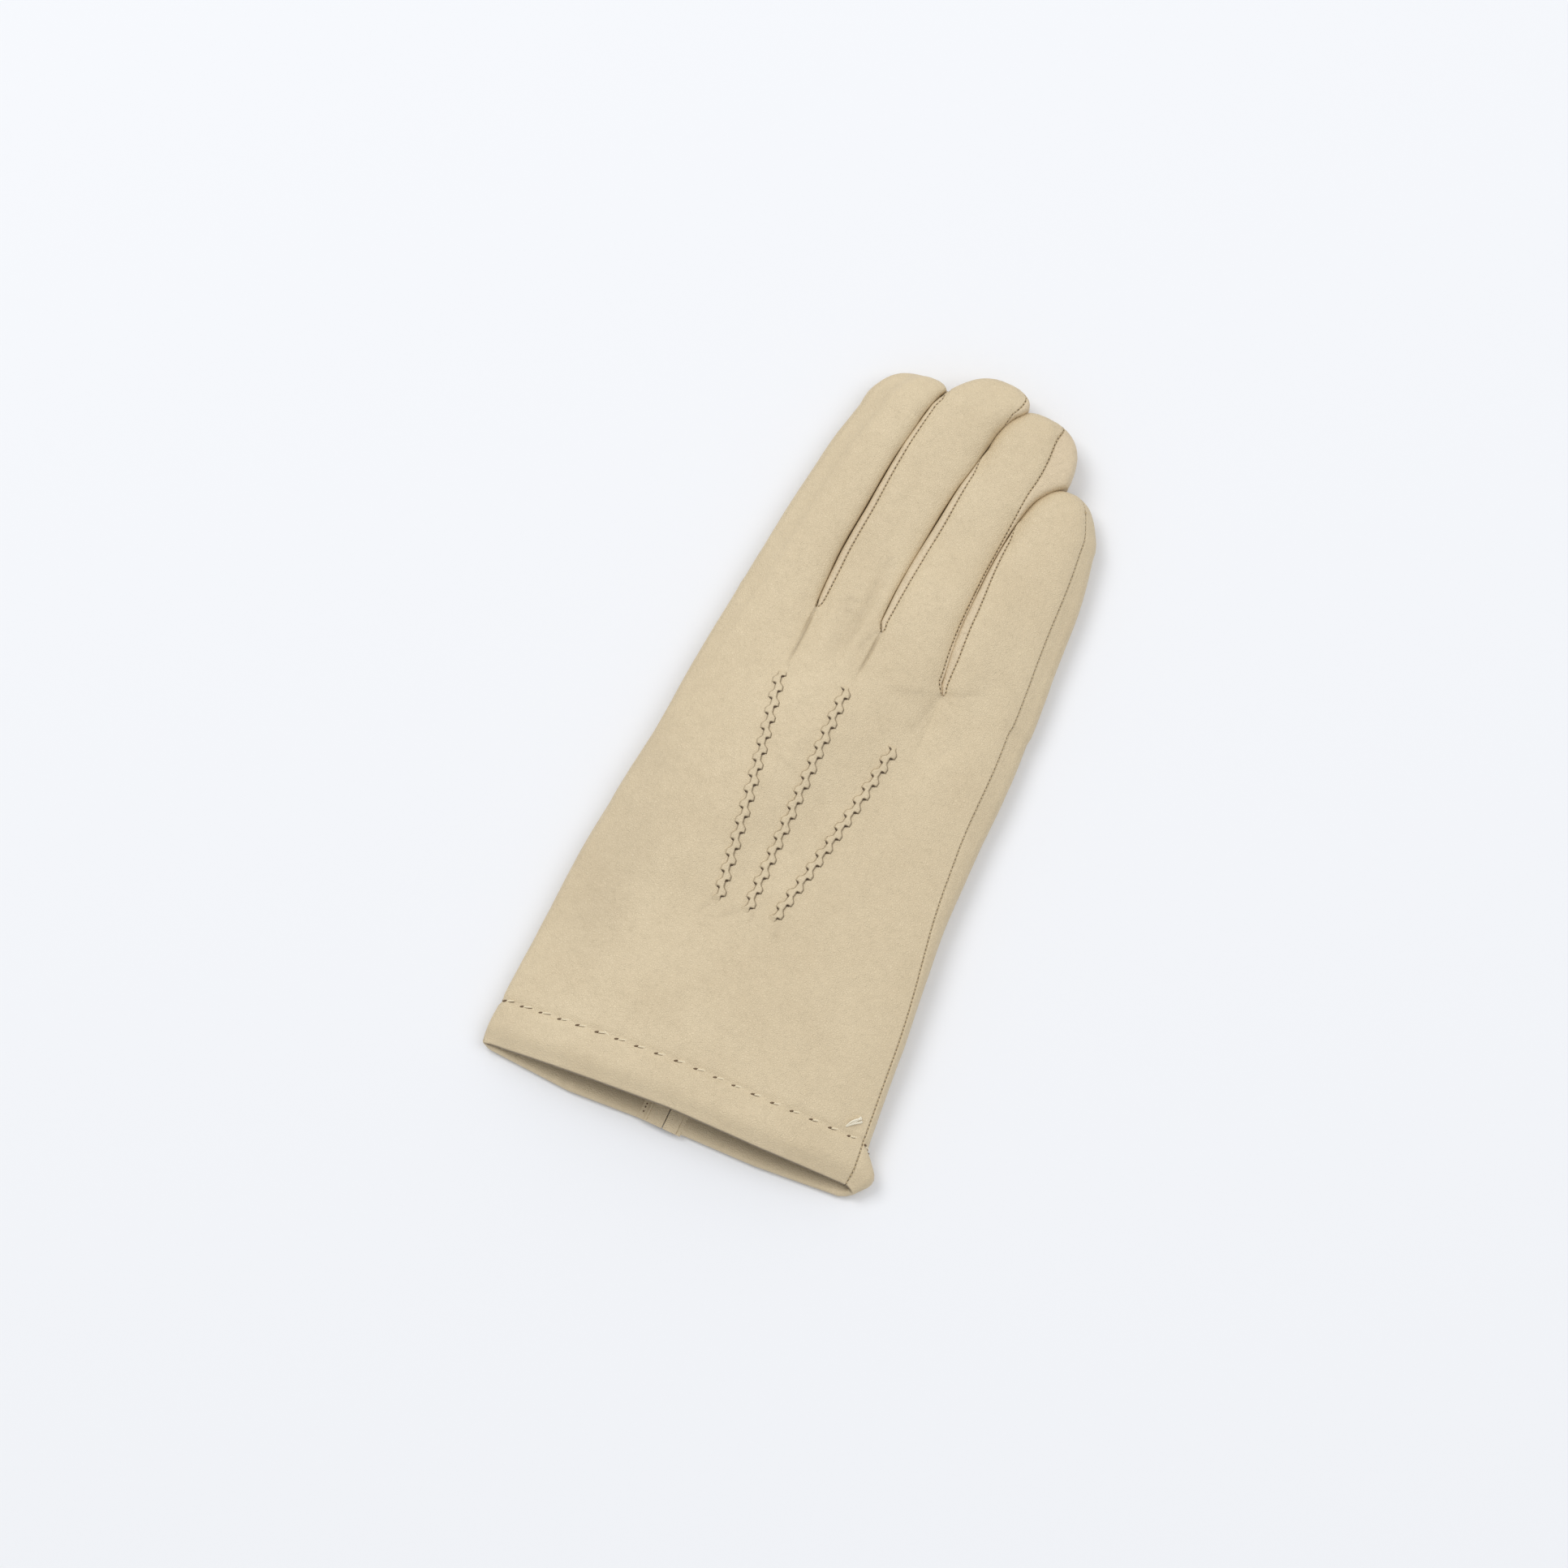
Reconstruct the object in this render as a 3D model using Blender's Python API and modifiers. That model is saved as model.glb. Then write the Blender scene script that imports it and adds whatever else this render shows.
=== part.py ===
"""A right-hand dress glove of lined leather, lying flat with its back up.

The hand points along +Y, the index finger is on the -X side and the thumb is folded
flat under the palm. The glove rests on z = 0.
"""
import math
from collections import namedtuple

import bmesh
import bpy
from mathutils import Vector
from mathutils.bvhtree import BVHTree

# Driving dimensions of the glove, in metres
PALM_LENGTH = 0.1510
PALM_WIDTH = 0.1042
CUFF_WIDTH = 0.1195
FINGER_LENGTH = 0.0898
HAND_DEPTH = 0.0164
FINGER_DEPTH = 0.0138
TRANK_WALL = 0.0015
FOURCHETTE_WALL = 0.0012
THUMB_WALL = 0.0014
THUMB_WIDTH = 0.0270
THUMB_DEPTH = 0.0090
FINGER_CLEARANCE = 0.0006
SEAM_GAP = 0.0003
THUMB_SEAT = 0.0007
FOLD_INSET = 0.0060
OUTSEAM_INSET = 0.0060
FOURCHETTE_INSET = 0.0022
LOWER_INSET = 0.0040
FORK_LOWER_INSET = 0.0030
WEB_DIP = 0.0035
WEB_RISE = 0.0018
BULGE_SHARE = 0.52
POINT_WIDTH = 0.0018
POINT_LENGTH = 0.0720
VENT_LENGTH = 0.0320
BINDING_WIDTH = 0.0019
VENT_OPENING = 0.0009
FACING_WIDTH = 0.0056
FACING_THICKNESS = 0.0010
QUIRK_LENGTH = 0.0120
QUIRK_WIDTH = 0.0048
QUIRK_WALL = 0.0011
QUIRK_SEAT = 0.0007
THUMB_HOLE_LENGTH = 0.0520
THUMB_HOLE_WIDTH = 0.0150
THUMB_HOLE_PLACE = 0.22

# How finely the leather is divided
PALM_ROWS = 17
FINGER_ROWS = 9
CROTCH_ROW = 0.018
SLIT_OPENS = 0.10
LANE_COLUMNS = 5
THUMB_ROWS = 9
THUMB_COLUMNS = 7
THUMB_HOLE_SIDES = 20
POINT_STATIONS = 13
VENT_STEPS = 6

LEATHER_COLOUR = (0.72, 0.60, 0.42, 1.0)
SEAM_COLOUR = (0.66, 0.54, 0.37, 1.0)

# The outline of the hand. along is a share of the palm's length, centre a share of its width,
# flare a share of how much wider the cuff is than the palm. ridge and side are heights,
# as shares of the hand's depth.
HandSection = namedtuple("HandSection", "along centre flare ridge side")
HAND_SECTIONS = (
    HandSection(0.00, -0.021, 1.00, 0.98, 0.50),
    HandSection(0.18, -0.029, 0.77, 1.00, 0.56),
    HandSection(0.35, -0.035, 0.54, 1.00, 0.63),
    HandSection(0.51, -0.037, 0.24, 1.00, 0.68),
    HandSection(0.68, -0.028, 0.00, 0.98, 0.69),
    HandSection(0.87, -0.019, -0.14, 0.93, 0.68),
    HandSection(1.00, -0.014, -0.34, 0.88, 0.66),
)

# The lines that divide the hand into four fingers, from the index side. share is the
# place across the hand at the cuff and at the crotch; crotch, back_edge and palm_edge are
# how far along the hand the slit, the back of the cuff and its palm side end.
Lane = namedtuple("Lane", "cuff_share crotch_share crotch back_edge palm_edge")
LANES = (
    Lane(0.00, 0.000, 1.007, -0.040, -0.046),
    Lane(0.25, 0.247, 1.026, -0.020, -0.052),
    Lane(0.50, 0.455, 1.033, -0.005, -0.040),
    Lane(0.75, 0.692, 0.980, 0.000, -0.036),
    Lane(1.00, 1.000, 0.947, 0.000, -0.020),
)

# Each finger's outline. along is a share of the finger length, from the end of the palm,
# left and right are shares of the palm's width.
FingerSection = namedtuple("FingerSection", "along left right")
Finger = namedtuple("Finger", "name tip_along tip_across sections left_inset right_inset")
FINGERS = (
    Finger("index", 0.911, -0.254, (
        FingerSection(-0.01, -0.489, -0.254),
        FingerSection(0.21, -0.470, -0.260),
        FingerSection(0.43, -0.445, -0.247),
        FingerSection(0.60, -0.423, -0.235),
        FingerSection(0.746, -0.391, -0.217),
    ), FOLD_INSET, FOURCHETTE_INSET),
    Finger("middle", 1.000, -0.024, (
        FingerSection(-0.01, -0.254, -0.058),
        FingerSection(0.21, -0.260, -0.061),
        FingerSection(0.43, -0.247, -0.046),
        FingerSection(0.60, -0.235, -0.029),
        FingerSection(0.746, -0.217, -0.005),
        FingerSection(0.835, -0.200, 0.009),
    ), FOURCHETTE_INSET, FOURCHETTE_INSET),
    Finger("ring", 0.954, 0.120, (
        FingerSection(-0.01, -0.058, 0.168),
        FingerSection(0.21, -0.061, 0.158),
        FingerSection(0.43, -0.046, 0.156),
        FingerSection(0.60, -0.029, 0.170),
        FingerSection(0.70, -0.013, 0.188),
        FingerSection(0.79, 0.004, 0.250),
    ), FOURCHETTE_INSET, FOURCHETTE_INSET),
    Finger("little", 0.753, 0.288, (
        FingerSection(-0.09, 0.168, 0.470),
        FingerSection(0.21, 0.158, 0.452),
        FingerSection(0.43, 0.156, 0.438),
        FingerSection(0.588, 0.172, 0.413),
    ), FOURCHETTE_INSET, OUTSEAM_INSET),
)

# Rows round each fingertip, as angles from its base to its end; every leather piece
# but the back stops at the last of them.
TIP_ANGLES = (20.0, 38.0, 54.0, 66.0, 73.0, 76.0)
TIP_BLUNTNESS = 0.7
TIP_DEPTH_BLUNTNESS = 0.6
TIP_HEIGHT = 0.45

# How round the panels are: the powers of their crowns, larger being flatter on top
HAND_CROWN = 2.8
FINGER_CROWN = 2.6
BULGE_CROWN = 4.0
LIFT_CROWN = 6.0
WEB_CROWN = 4.0
# A finger's top seam, as a share of its depth, and where along the hand and the finger
# the fingers' own roundness begins and is complete
FINGER_SEAM_HEIGHT = 0.81
FINGER_ROUND_START = 0.80
FINGER_ROUND_END = 0.33
# How far the thumb is felt, in half widths from its centre line: its start and its spread
LIFT_RANGE = (0.75, 0.9)
BULGE_RANGE = (0.3, 2.1)
# The rounding of a side: how far its curve leaves the top seam, the outermost line and
# the lower seam, as shares of the inset and the height
SIDE_TOP_REACH = 0.55
SIDE_TOP_DROP = 0.6
SIDE_MIDDLE_REACH = 0.28
SIDE_LOW_REACH = 0.60
OUTSEAM_CUFF_SHARE = 0.35

# The thumb's centre line is an arc through three places, as shares of the palm's width
# and length; its sections give half width and depth as shares of the named sizes.
THUMB_ROOT = (-0.317, 0.503)
THUMB_BEND = (-0.211, 0.795)
THUMB_END = (0.131, 1.090)
ThumbSection = namedtuple("ThumbSection", "along width depth")
THUMB_SECTIONS = (
    ThumbSection(0.00, 0.78, 0.72),
    ThumbSection(0.25, 0.93, 0.96),
    ThumbSection(0.50, 1.00, 1.00),
    ThumbSection(0.80, 1.00, 0.98),
    ThumbSection(1.00, 0.96, 0.94),
)

# The thumb's rounded ends, as angles, and its roundness seen in section
THUMB_END_ANGLES = (22.0, 45.0, 68.0)
THUMB_BLUNTNESS = 0.9
THUMB_DEPTH_BLUNTNESS = 0.7
THUMB_SIDE_POWER = 0.85
THUMB_TOP_POWER = 0.75
THUMB_UNDER_POWER = 0.45
THUMB_SEARCH_STEPS = 40

# The three tucks on the back, index side first: places as shares of the palm's
# width and length, from the wrist end to the finger end.
Point = namedtuple("Point", "name wrist_across wrist_along bend finger_across finger_along")
POINTS = (
    Point("point_index", -0.158, 0.424, -0.012, -0.274, 0.887),
    Point("point_middle", -0.069, 0.417, 0.000, -0.077, 0.907),
    Point("point_ring", 0.008, 0.411, 0.010, 0.120, 0.841),
)

# The vent's middle line as a share of the palm's width, how far inside the cuff's edge its
# binding starts and how far past that edge its slot is cut, as shares of the palm's length
VENT_PLACE = -0.019
VENT_START = 0.01
VENT_OVERCUT = 0.05
QUIRK_PLACE = (-0.234, 0.916)
QUIRK_RINGS = 3
QUIRK_SIDES = 12
QUIRK_POINTEDNESS = 0.18


def smooth(share):
    """Ease from 0 to 1."""
    share = min(max(share, 0.0), 1.0)
    return share * share * (3.0 - 2.0 * share)


def mix(start, end, share):
    """The value or point at a share of the way from start to end."""
    return start + (end - start) * share


def read_table(rows, column, at):
    """A smooth curve through one column of a table whose first column is its position."""
    stations = [row.along for row in rows]
    values = [getattr(row, column) for row in rows]
    if at <= stations[0]:
        return values[0]
    if at >= stations[-1]:
        return values[-1]
    slopes = [(b - a) / (t - s) for a, b, s, t in zip(values, values[1:], stations, stations[1:])]
    tangents = [slopes[0]]
    for before, after in zip(slopes, slopes[1:]):
        tangents.append(0.5 * (before + after) if before * after > 0.0 else 0.0)
    tangents.append(slopes[-1])
    span = next(i for i in range(len(rows) - 1) if at <= stations[i + 1])
    step = stations[span + 1] - stations[span]
    t = (at - stations[span]) / step
    hermite = (
        (1.0 + 2.0 * t) * (1.0 - t) ** 2 * values[span]
        + t * (1.0 - t) ** 2 * step * tangents[span]
        + t * t * (3.0 - 2.0 * t) * values[span + 1]
        + t * t * (t - 1.0) * step * tangents[span + 1]
    )
    return hermite


def thumb_spine(t):
    """A point on the thumb's centre line, seen from above, and its heading."""
    places = (THUMB_ROOT, THUMB_BEND, THUMB_END)
    root, bend, end = (Vector((x * PALM_WIDTH, y * PALM_LENGTH)) for x, y in places)
    place = root * (1.0 - t) ** 2 + bend * 2.0 * t * (1.0 - t) + end * t * t
    heading = (bend - root) * (1.0 - t) + (end - bend) * t
    return place, heading.normalized()


def thumb_near(x, y):
    """The distance to the thumb's centre line in half widths, and the depth there."""
    here = Vector((x, y))
    found = []
    for step in range(THUMB_SEARCH_STEPS + 1):
        t = step / THUMB_SEARCH_STEPS
        half = read_table(THUMB_SECTIONS, "width", t) * THUMB_WIDTH / 2.0
        found.append(((here - thumb_spine(t)[0]).length / half, t))
    near, nearest = min(found)
    return near, read_table(THUMB_SECTIONS, "depth", nearest) * THUMB_DEPTH


def thumb_lift(x, y):
    """How high the palm is held up by the thumb folded under it."""
    near, depth = thumb_near(x, y)
    start, spread = LIFT_RANGE
    return (depth + THUMB_SEAT) * (1.0 - smooth((near - start) / spread))


def thumb_bulge(x, y):
    """How much higher the back lies where the thumb is folded under the hand."""
    near, depth = thumb_near(x, y)
    start, spread = BULGE_RANGE
    return BULGE_SHARE * depth * (1.0 - smooth((near - start) / spread))


def hand_edges(along):
    """The index side and little finger side of the hand, seen from above."""
    flare = read_table(HAND_SECTIONS, "flare", along)
    half = (PALM_WIDTH + flare * (CUFF_WIDTH - PALM_WIDTH)) / 2.0
    centre = read_table(HAND_SECTIONS, "centre", along) * PALM_WIDTH
    return centre - half, centre + half


def hand_place(row, line, edge):
    """Where a dividing line crosses a row of the hand; edge names the back or palm edge."""
    lane = LANES[line]
    along = mix(getattr(lane, edge), lane.crotch, row)
    left, right = hand_edges(max(along, 0.0))
    share = mix(lane.cuff_share, lane.crotch_share, row)
    return Vector((mix(left, right, share), along * PALM_LENGTH, 0.0))


def crown(share, power):
    """The rise of a rounded panel, 1 at its middle and 0 at both its edges."""
    return 1.0 - abs(share) ** power


def bezier(points, t):
    """A point on a cubic curve with four control points."""
    a, b, c, d = points
    return a * (1 - t) ** 3 + b * 3 * t * (1 - t) ** 2 + c * 3 * t * t * (1 - t) + d * t ** 3


def flank(top, low, edge, way, share):
    """A point on the rounded side between the top seam and the lower seam."""
    middle = Vector((edge, (top.y + low.y) / 2.0, (low.z + top.z) / 2.0))
    rise = Vector((0.0, 0.0, SIDE_MIDDLE_REACH * (top.z - low.z)))
    if share < 0.5:
        reach = SIDE_TOP_REACH * abs(edge - top.x)
        curve = (top, top + Vector((way * reach, 0.0, -SIDE_TOP_DROP * reach)), middle + rise, middle)
        return bezier(curve, share * 2.0)
    reach = SIDE_LOW_REACH * abs(edge - low.x)
    curve = (middle, middle - rise, low + Vector((way * reach, 0.0, 0.0)), low)
    return bezier(curve, share * 2.0 - 1.0)


def flank_shares(is_split, length):
    """Stations down a side: a seam gap in from each edge, and a pair where it is split."""
    gap = SEAM_GAP / length
    middle = (0.5 - gap / 2.0, 0.5 + gap / 2.0) if is_split else (0.5,)
    return (gap, 0.25) + middle + (0.75, 1.0 - 3.0 * gap)


def side_seams(row, is_index_side):
    """The top and lower lines of the hand's side, and its outermost place."""
    line = 0 if is_index_side else len(LANES) - 1
    way = 1.0 if is_index_side else -1.0
    place = hand_place(row, line, "back_edge")
    low = hand_place(row, line, "palm_edge")
    height = read_table(HAND_SECTIONS, "side", row) * HAND_DEPTH
    outseam = OUTSEAM_INSET * mix(OUTSEAM_CUFF_SHARE, 1.0, smooth(row * 1.5))
    inset = FOLD_INSET if is_index_side else outseam
    top = Vector((place.x + way * inset, place.y, height))
    return top, Vector((low.x + way * LOWER_INSET, low.y, 0.0)), (place.x + low.x) / 2.0


def finger_fade(row):
    """How far the fingers' own roundness has grown at a row of the hand."""
    return smooth((row - FINGER_ROUND_START) / (1.0 - FINGER_ROUND_START))


def web_top():
    """The height of the web between two fingers, before the thumb lifts it."""
    return read_table(HAND_SECTIONS, "ridge", 1.0) * HAND_DEPTH - WEB_DIP


def hand_top(row, lane, share):
    """A point on the back of the hand; share runs from -1 to 1 across a finger's lane."""
    left = hand_place(row, lane, "back_edge")
    right = hand_place(row, lane + 1, "back_edge")
    outer_left = side_seams(row, True)[0]
    outer_right = side_seams(row, False)[0]
    left = outer_left if lane == 0 else left
    right = outer_right if lane == len(FINGERS) - 1 else right
    place = mix(left, right, (share + 1.0) / 2.0)
    middle = (outer_left.x + outer_right.x) / 2.0
    across = (place.x - middle) / ((outer_right.x - outer_left.x) / 2.0)
    side = outer_left.z
    ridge = read_table(HAND_SECTIONS, "ridge", row) * HAND_DEPTH
    palm = side + (ridge - side) * crown(across, HAND_CROWN)
    web = web_top()
    ends = (side if lane == 0 else web, side if lane == len(FINGERS) - 1 else web)
    base = mix(ends[0], ends[1], (share + 1.0) / 2.0)
    finger = base + (FINGER_DEPTH - (ends[0] + ends[1]) / 2.0) * crown(share, FINGER_CROWN)
    place.z = mix(palm, finger, finger_fade(row))
    place.z += thumb_bulge(place.x, place.y) * crown(across, BULGE_CROWN)
    return place


def is_outer_half(lane, share):
    """Whether a place across a finger is on the hand's own side, where no web is."""
    return (lane == 0 and share < 0.0) or (lane == len(FINGERS) - 1 and share > 0.0)


def web_rise(lane, share, fade):
    """How the palm side lifts towards the webs between the fingers."""
    return 0.0 if is_outer_half(lane, share) else WEB_RISE * abs(share) ** WEB_CROWN * fade


def hand_low(row, lane, share):
    """A point on the palm side of the hand, lifted where the thumb lies under it."""
    left = hand_place(row, lane, "palm_edge")
    right = hand_place(row, lane + 1, "palm_edge")
    left = side_seams(row, True)[1] if lane == 0 else left
    right = side_seams(row, False)[1] if lane == len(FINGERS) - 1 else right
    place = mix(left, right, (share + 1.0) / 2.0)
    lift = thumb_lift(place.x, place.y)
    lift *= crown(share, LIFT_CROWN) if is_outer_half(lane, share) else 1.0
    place.z = max(lift, web_rise(lane, share, finger_fade(row)))
    return place


def finger_frame(finger, lane, row):
    """The four seam places and the two outermost places of a finger at a row along it."""
    sides = (
        (LANES[lane], "left", finger.left_inset, lane == 0, 1.0),
        (LANES[lane + 1], "right", finger.right_inset, lane == len(FINGERS) - 1, -1.0),
    )
    return [finger_side(finger, row, *side) for side in sides]


def finger_side(finger, row, line, column, inset, is_outer, way):
    """The top seam, the lower seam and the outermost place of one side of a finger."""
    cap = finger.sections[-1].along * FINGER_LENGTH + PALM_LENGTH
    y = mix(line.crotch * PALM_LENGTH, cap, row)
    edge = read_table(finger.sections, column, (y - PALM_LENGTH) / FINGER_LENGTH) * PALM_WIDTH
    rounded = smooth(row / FINGER_ROUND_END)
    if is_outer:
        start = read_table(HAND_SECTIONS, "side", 1.0) * HAND_DEPTH
        height = mix(start, FINGER_SEAM_HEIGHT * FINGER_DEPTH, rounded)
        low_seam = Vector((edge + way * LOWER_INSET, y, 0.0))
        return Vector((edge + way * inset, y, height)), low_seam, edge
    grown = math.sqrt(min(1.0, row / SLIT_OPENS))
    edge += way * FINGER_CLEARANCE / 2.0 * min(1.0, row / SLIT_OPENS)
    top_seam = Vector((edge + way * inset * grown, y, 0.0))
    top_seam.z = mix(web_top(), FINGER_SEAM_HEIGHT * FINGER_DEPTH, rounded) + thumb_bulge(top_seam.x, y)
    low_seam = Vector((edge + way * FORK_LOWER_INSET * grown, y, 0.0))
    low_seam.z = max(WEB_RISE * (1.0 - rounded), thumb_lift(low_seam.x, y))
    return top_seam, low_seam, edge


def finger_ring(finger, lane, row, tip_angle):
    """One closed row of points round a finger, as four runs: top, right, low and left."""
    (top_l, low_l, edge_l), (top_r, low_r, edge_r) = finger_frame(finger, lane, row)
    middle = (top_l + top_r) / 2.0
    rise = FINGER_DEPTH + thumb_bulge(middle.x, middle.y) - middle.z
    gap = SEAM_GAP / (top_r.x - top_l.x)
    shares = [mix(-1.0 + gap, 1.0 - gap, i / LANE_COLUMNS) for i in range(LANE_COLUMNS + 1)]
    top = []
    for share in shares:
        place = mix(top_l, top_r, (share + 1.0) / 2.0)
        place.z += rise * crown(share, FINGER_CROWN)
        top.append(place)
    low = []
    for share in reversed(shares):
        place = mix(low_l, low_r, (share + 1.0) / 2.0)
        lift = thumb_lift(place.x, place.y)
        lift *= crown(share, LIFT_CROWN) if is_outer_half(lane, share) else 1.0
        place.z = max(lift, web_rise(lane, share, 1.0 - smooth(row / FINGER_ROUND_END)))
        low.append(place)
    right = [flank(top_r, low_r, edge_r, 1.0, s) for s in flank_shares(False, FINGER_DEPTH)]
    left = [flank(top_l, low_l, edge_l, -1.0, s) for s in flank_shares(lane == 0, FINGER_DEPTH)]
    runs = [top, right, low, left[::-1]]
    if tip_angle > 0.0:
        close_tip(finger, runs, (edge_l + edge_r) / 2.0, tip_angle)
    return runs


def fingertip(finger):
    """The very end of a finger."""
    along = finger.tip_along * FINGER_LENGTH + PALM_LENGTH
    return Vector((finger.tip_across * PALM_WIDTH, along, TIP_HEIGHT * FINGER_DEPTH))


def close_tip(finger, runs, centre, tip_angle):
    """Draw a ring in towards the fingertip, in place."""
    angle = math.radians(tip_angle)
    narrow = math.cos(angle) ** TIP_BLUNTNESS
    thin = math.cos(angle) ** TIP_DEPTH_BLUNTNESS
    forward = math.sin(angle)
    tip = fingertip(finger)
    for run in runs:
        for place in run:
            place.x = mix(centre, tip.x, forward ** 2) + (place.x - centre) * narrow
            place.z = tip.z + (place.z - tip.z) * thin
            place.y = mix(place.y, tip.y, forward)


def add_run(skin, places):
    """Vertices for a run of places."""
    return [skin.verts.new(place) for place in places]


def bridge(skin, ring, following, labels):
    """Faces between two closed rings of vertices, each labelled with its leather piece."""
    count = len(ring)
    for i in range(count):
        after = (i + 1) % count
        corners = [ring[i], ring[after], following[after], following[i]]
        unique = [v for n, v in enumerate(corners) if v not in corners[:n]]
        if len(unique) > 2:
            face = skin.faces.new(unique)
            face.material_index = labels[i]


BACK, PALM, SEAM, FORKS = 0, 1, 2, 3


def finger_labels(lane, runs):
    """The leather piece of each face round a finger, in the order of its ring."""
    right = PALM if lane == len(FINGERS) - 1 else FORKS + lane
    left = FORKS + lane - 1
    labels = [BACK] * (len(runs[0]) - 1)
    labels += [SEAM] + [right] * (len(runs[1]) - 1)
    labels += [PALM if lane == len(FINGERS) - 1 else SEAM] + [PALM] * (len(runs[2]) - 1)
    if lane == 0:
        return labels + [PALM] * 3 + [SEAM] + [BACK] * 3
    return labels + [SEAM] + [left] * (len(runs[3]) - 1) + [SEAM]


def hand_ring(skin, row):
    """One closed row of vertices round the hand, as runs: top lanes, right, low lanes, left."""
    lanes = range(len(FINGERS))
    shares = [mix(-1.0, 1.0, i / LANE_COLUMNS) for i in range(LANE_COLUMNS + 1)]
    top = [add_run(skin, [hand_top(row, 0, shares[0])])[0]]
    low = [add_run(skin, [hand_low(row, 0, shares[0])])[0]]
    for lane in lanes:
        top += add_run(skin, [hand_top(row, lane, share) for share in shares[1:]])
        low += add_run(skin, [hand_low(row, lane, share) for share in shares[1:]])
    depth = HAND_DEPTH * read_table(HAND_SECTIONS, "side", row)
    sides = []
    for is_index_side, way in ((False, 1.0), (True, -1.0)):
        seams = side_seams(row, is_index_side)
        shares = flank_shares(is_index_side, depth)
        sides.append(add_run(skin, [flank(*seams, way, share) for share in shares]))
    return top, sides[0], low, sides[1]


def glove_skin():
    """The outer face of the hand and fingers, its faces labelled by leather piece."""
    skin = bmesh.new()
    rings = [hand_ring(skin, i / PALM_ROWS) for i in range(PALM_ROWS + 1)]
    top, right, low, left = rings[0]
    labels = [BACK] * (len(top) - 1) + [SEAM] + [PALM] * (len(right) - 1) + [PALM] * (len(low) + 1)
    labels += [PALM] * 2 + [SEAM] + [BACK] * 3
    closed = [t + r + l[::-1] + s[::-1] for t, r, l, s in rings]
    for ring, following in zip(closed, closed[1:]):
        bridge(skin, ring, following, labels)
    top, right, low, left = rings[-1]
    webs = [web_line(skin, line) for line in range(1, len(FINGERS))]
    for lane, finger in enumerate(FINGERS):
        first = lane * LANE_COLUMNS
        last = first + LANE_COLUMNS + 1
        right_side = right if lane == len(FINGERS) - 1 else webs[lane]
        left_side = left if lane == 0 else webs[lane - 1]
        ring = top[first:last] + right_side + low[first:last][::-1] + left_side[::-1]
        add_finger(skin, finger, lane, ring)
    skin.normal_update()
    set_inward(skin)
    bmesh.ops.triangulate(skin, faces=skin.faces[:])
    return skin


def set_inward(skin):
    """Store the way to the inside at each vertex, the same on both edges of a seam gap."""
    inward = skin.verts.layers.float_vector.new("inward")
    for vertex in skin.verts:
        vertex[inward] = -vertex.normal
    for edge in skin.edges:
        if edge.calc_length() < 2.0 * SEAM_GAP:
            first, second = edge.verts
            shared = (first[inward] + second[inward]).normalized()
            first[inward] = shared
            second[inward] = shared


def web_line(skin, line):
    """The upright line where the sides of two fingers meet at their crotch."""
    place = hand_place(1.0, line, "back_edge") + Vector((0.0, 3.0 * SEAM_GAP, 0.0))
    top = web_top() + thumb_bulge(place.x, place.y)
    low = max(WEB_RISE, thumb_lift(place.x, place.y)) + SEAM_GAP
    shares = flank_shares(False, top - low)
    return add_run(skin, [Vector((place.x, place.y, mix(top, low, share))) for share in shares])


def add_finger(skin, finger, lane, ring):
    """Rows of faces from the crotch to the fingertip."""
    stations = [(CROTCH_ROW, 0.0)] + [((i + 1) / FINGER_ROWS, 0.0) for i in range(FINGER_ROWS)]
    stations += [(1.0, angle) for angle in TIP_ANGLES]
    for row, angle in stations:
        runs = finger_ring(finger, lane, row, angle)
        labels = finger_labels(lane, runs)
        following = [vertex for run in runs for vertex in add_run(skin, run)]
        if angle == TIP_ANGLES[-1]:
            labels = [BACK] * LANE_COLUMNS + [SEAM] * (len(labels) - LANE_COLUMNS)
        bridge(skin, ring, following, labels)
        ring = following
    tip = skin.verts.new(fingertip(finger))
    for vertex, after in zip(ring, ring[1:] + ring[:1]):
        skin.faces.new((vertex, after, tip)).material_index = BACK


def shell_from_skin(skin, label, wall):
    """A closed wall of leather under the faces that carry one label."""
    panel = skin.copy()
    others = [face for face in panel.faces if face.material_index != label]
    bmesh.ops.delete(panel, geom=others, context="FACES")
    layer = panel.verts.layers.float_vector["inward"]
    whole = panel.verts[:] + panel.edges[:] + panel.faces[:]
    made = bmesh.ops.extrude_face_region(panel, geom=whole, use_keep_orig=True)
    for vertex in made["geom"]:
        if isinstance(vertex, bmesh.types.BMVert):
            vertex.co += vertex[layer] * wall
    bmesh.ops.recalc_face_normals(panel, faces=panel.faces[:])
    for face in panel.faces:
        face.material_index = 0
    return panel


def leather(name, colour, roughness):
    """A plain leather finish."""
    finish = bpy.data.materials.new(name)
    finish.use_nodes = True
    shader = finish.node_tree.nodes["Principled BSDF"]
    shader.inputs["Base Color"].default_value = colour
    shader.inputs["Roughness"].default_value = roughness
    shader.inputs["Metallic"].default_value = 0.0
    return finish


def add_object(name, mesh, finish, collection):
    """A named object of one mesh and one finish."""
    thing = bpy.data.objects.new(name, mesh)
    mesh.materials.clear()
    mesh.materials.append(finish)
    collection.objects.link(thing)
    return thing


def mesh_from(bm, name):
    """A smooth shaded mesh from a bmesh, which is then freed."""
    mesh = bpy.data.meshes.new(name)
    bm.to_mesh(mesh)
    bm.free()
    mesh.shade_smooth()
    mesh.set_sharp_from_angle(angle=math.radians(40.0))
    return mesh


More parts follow.
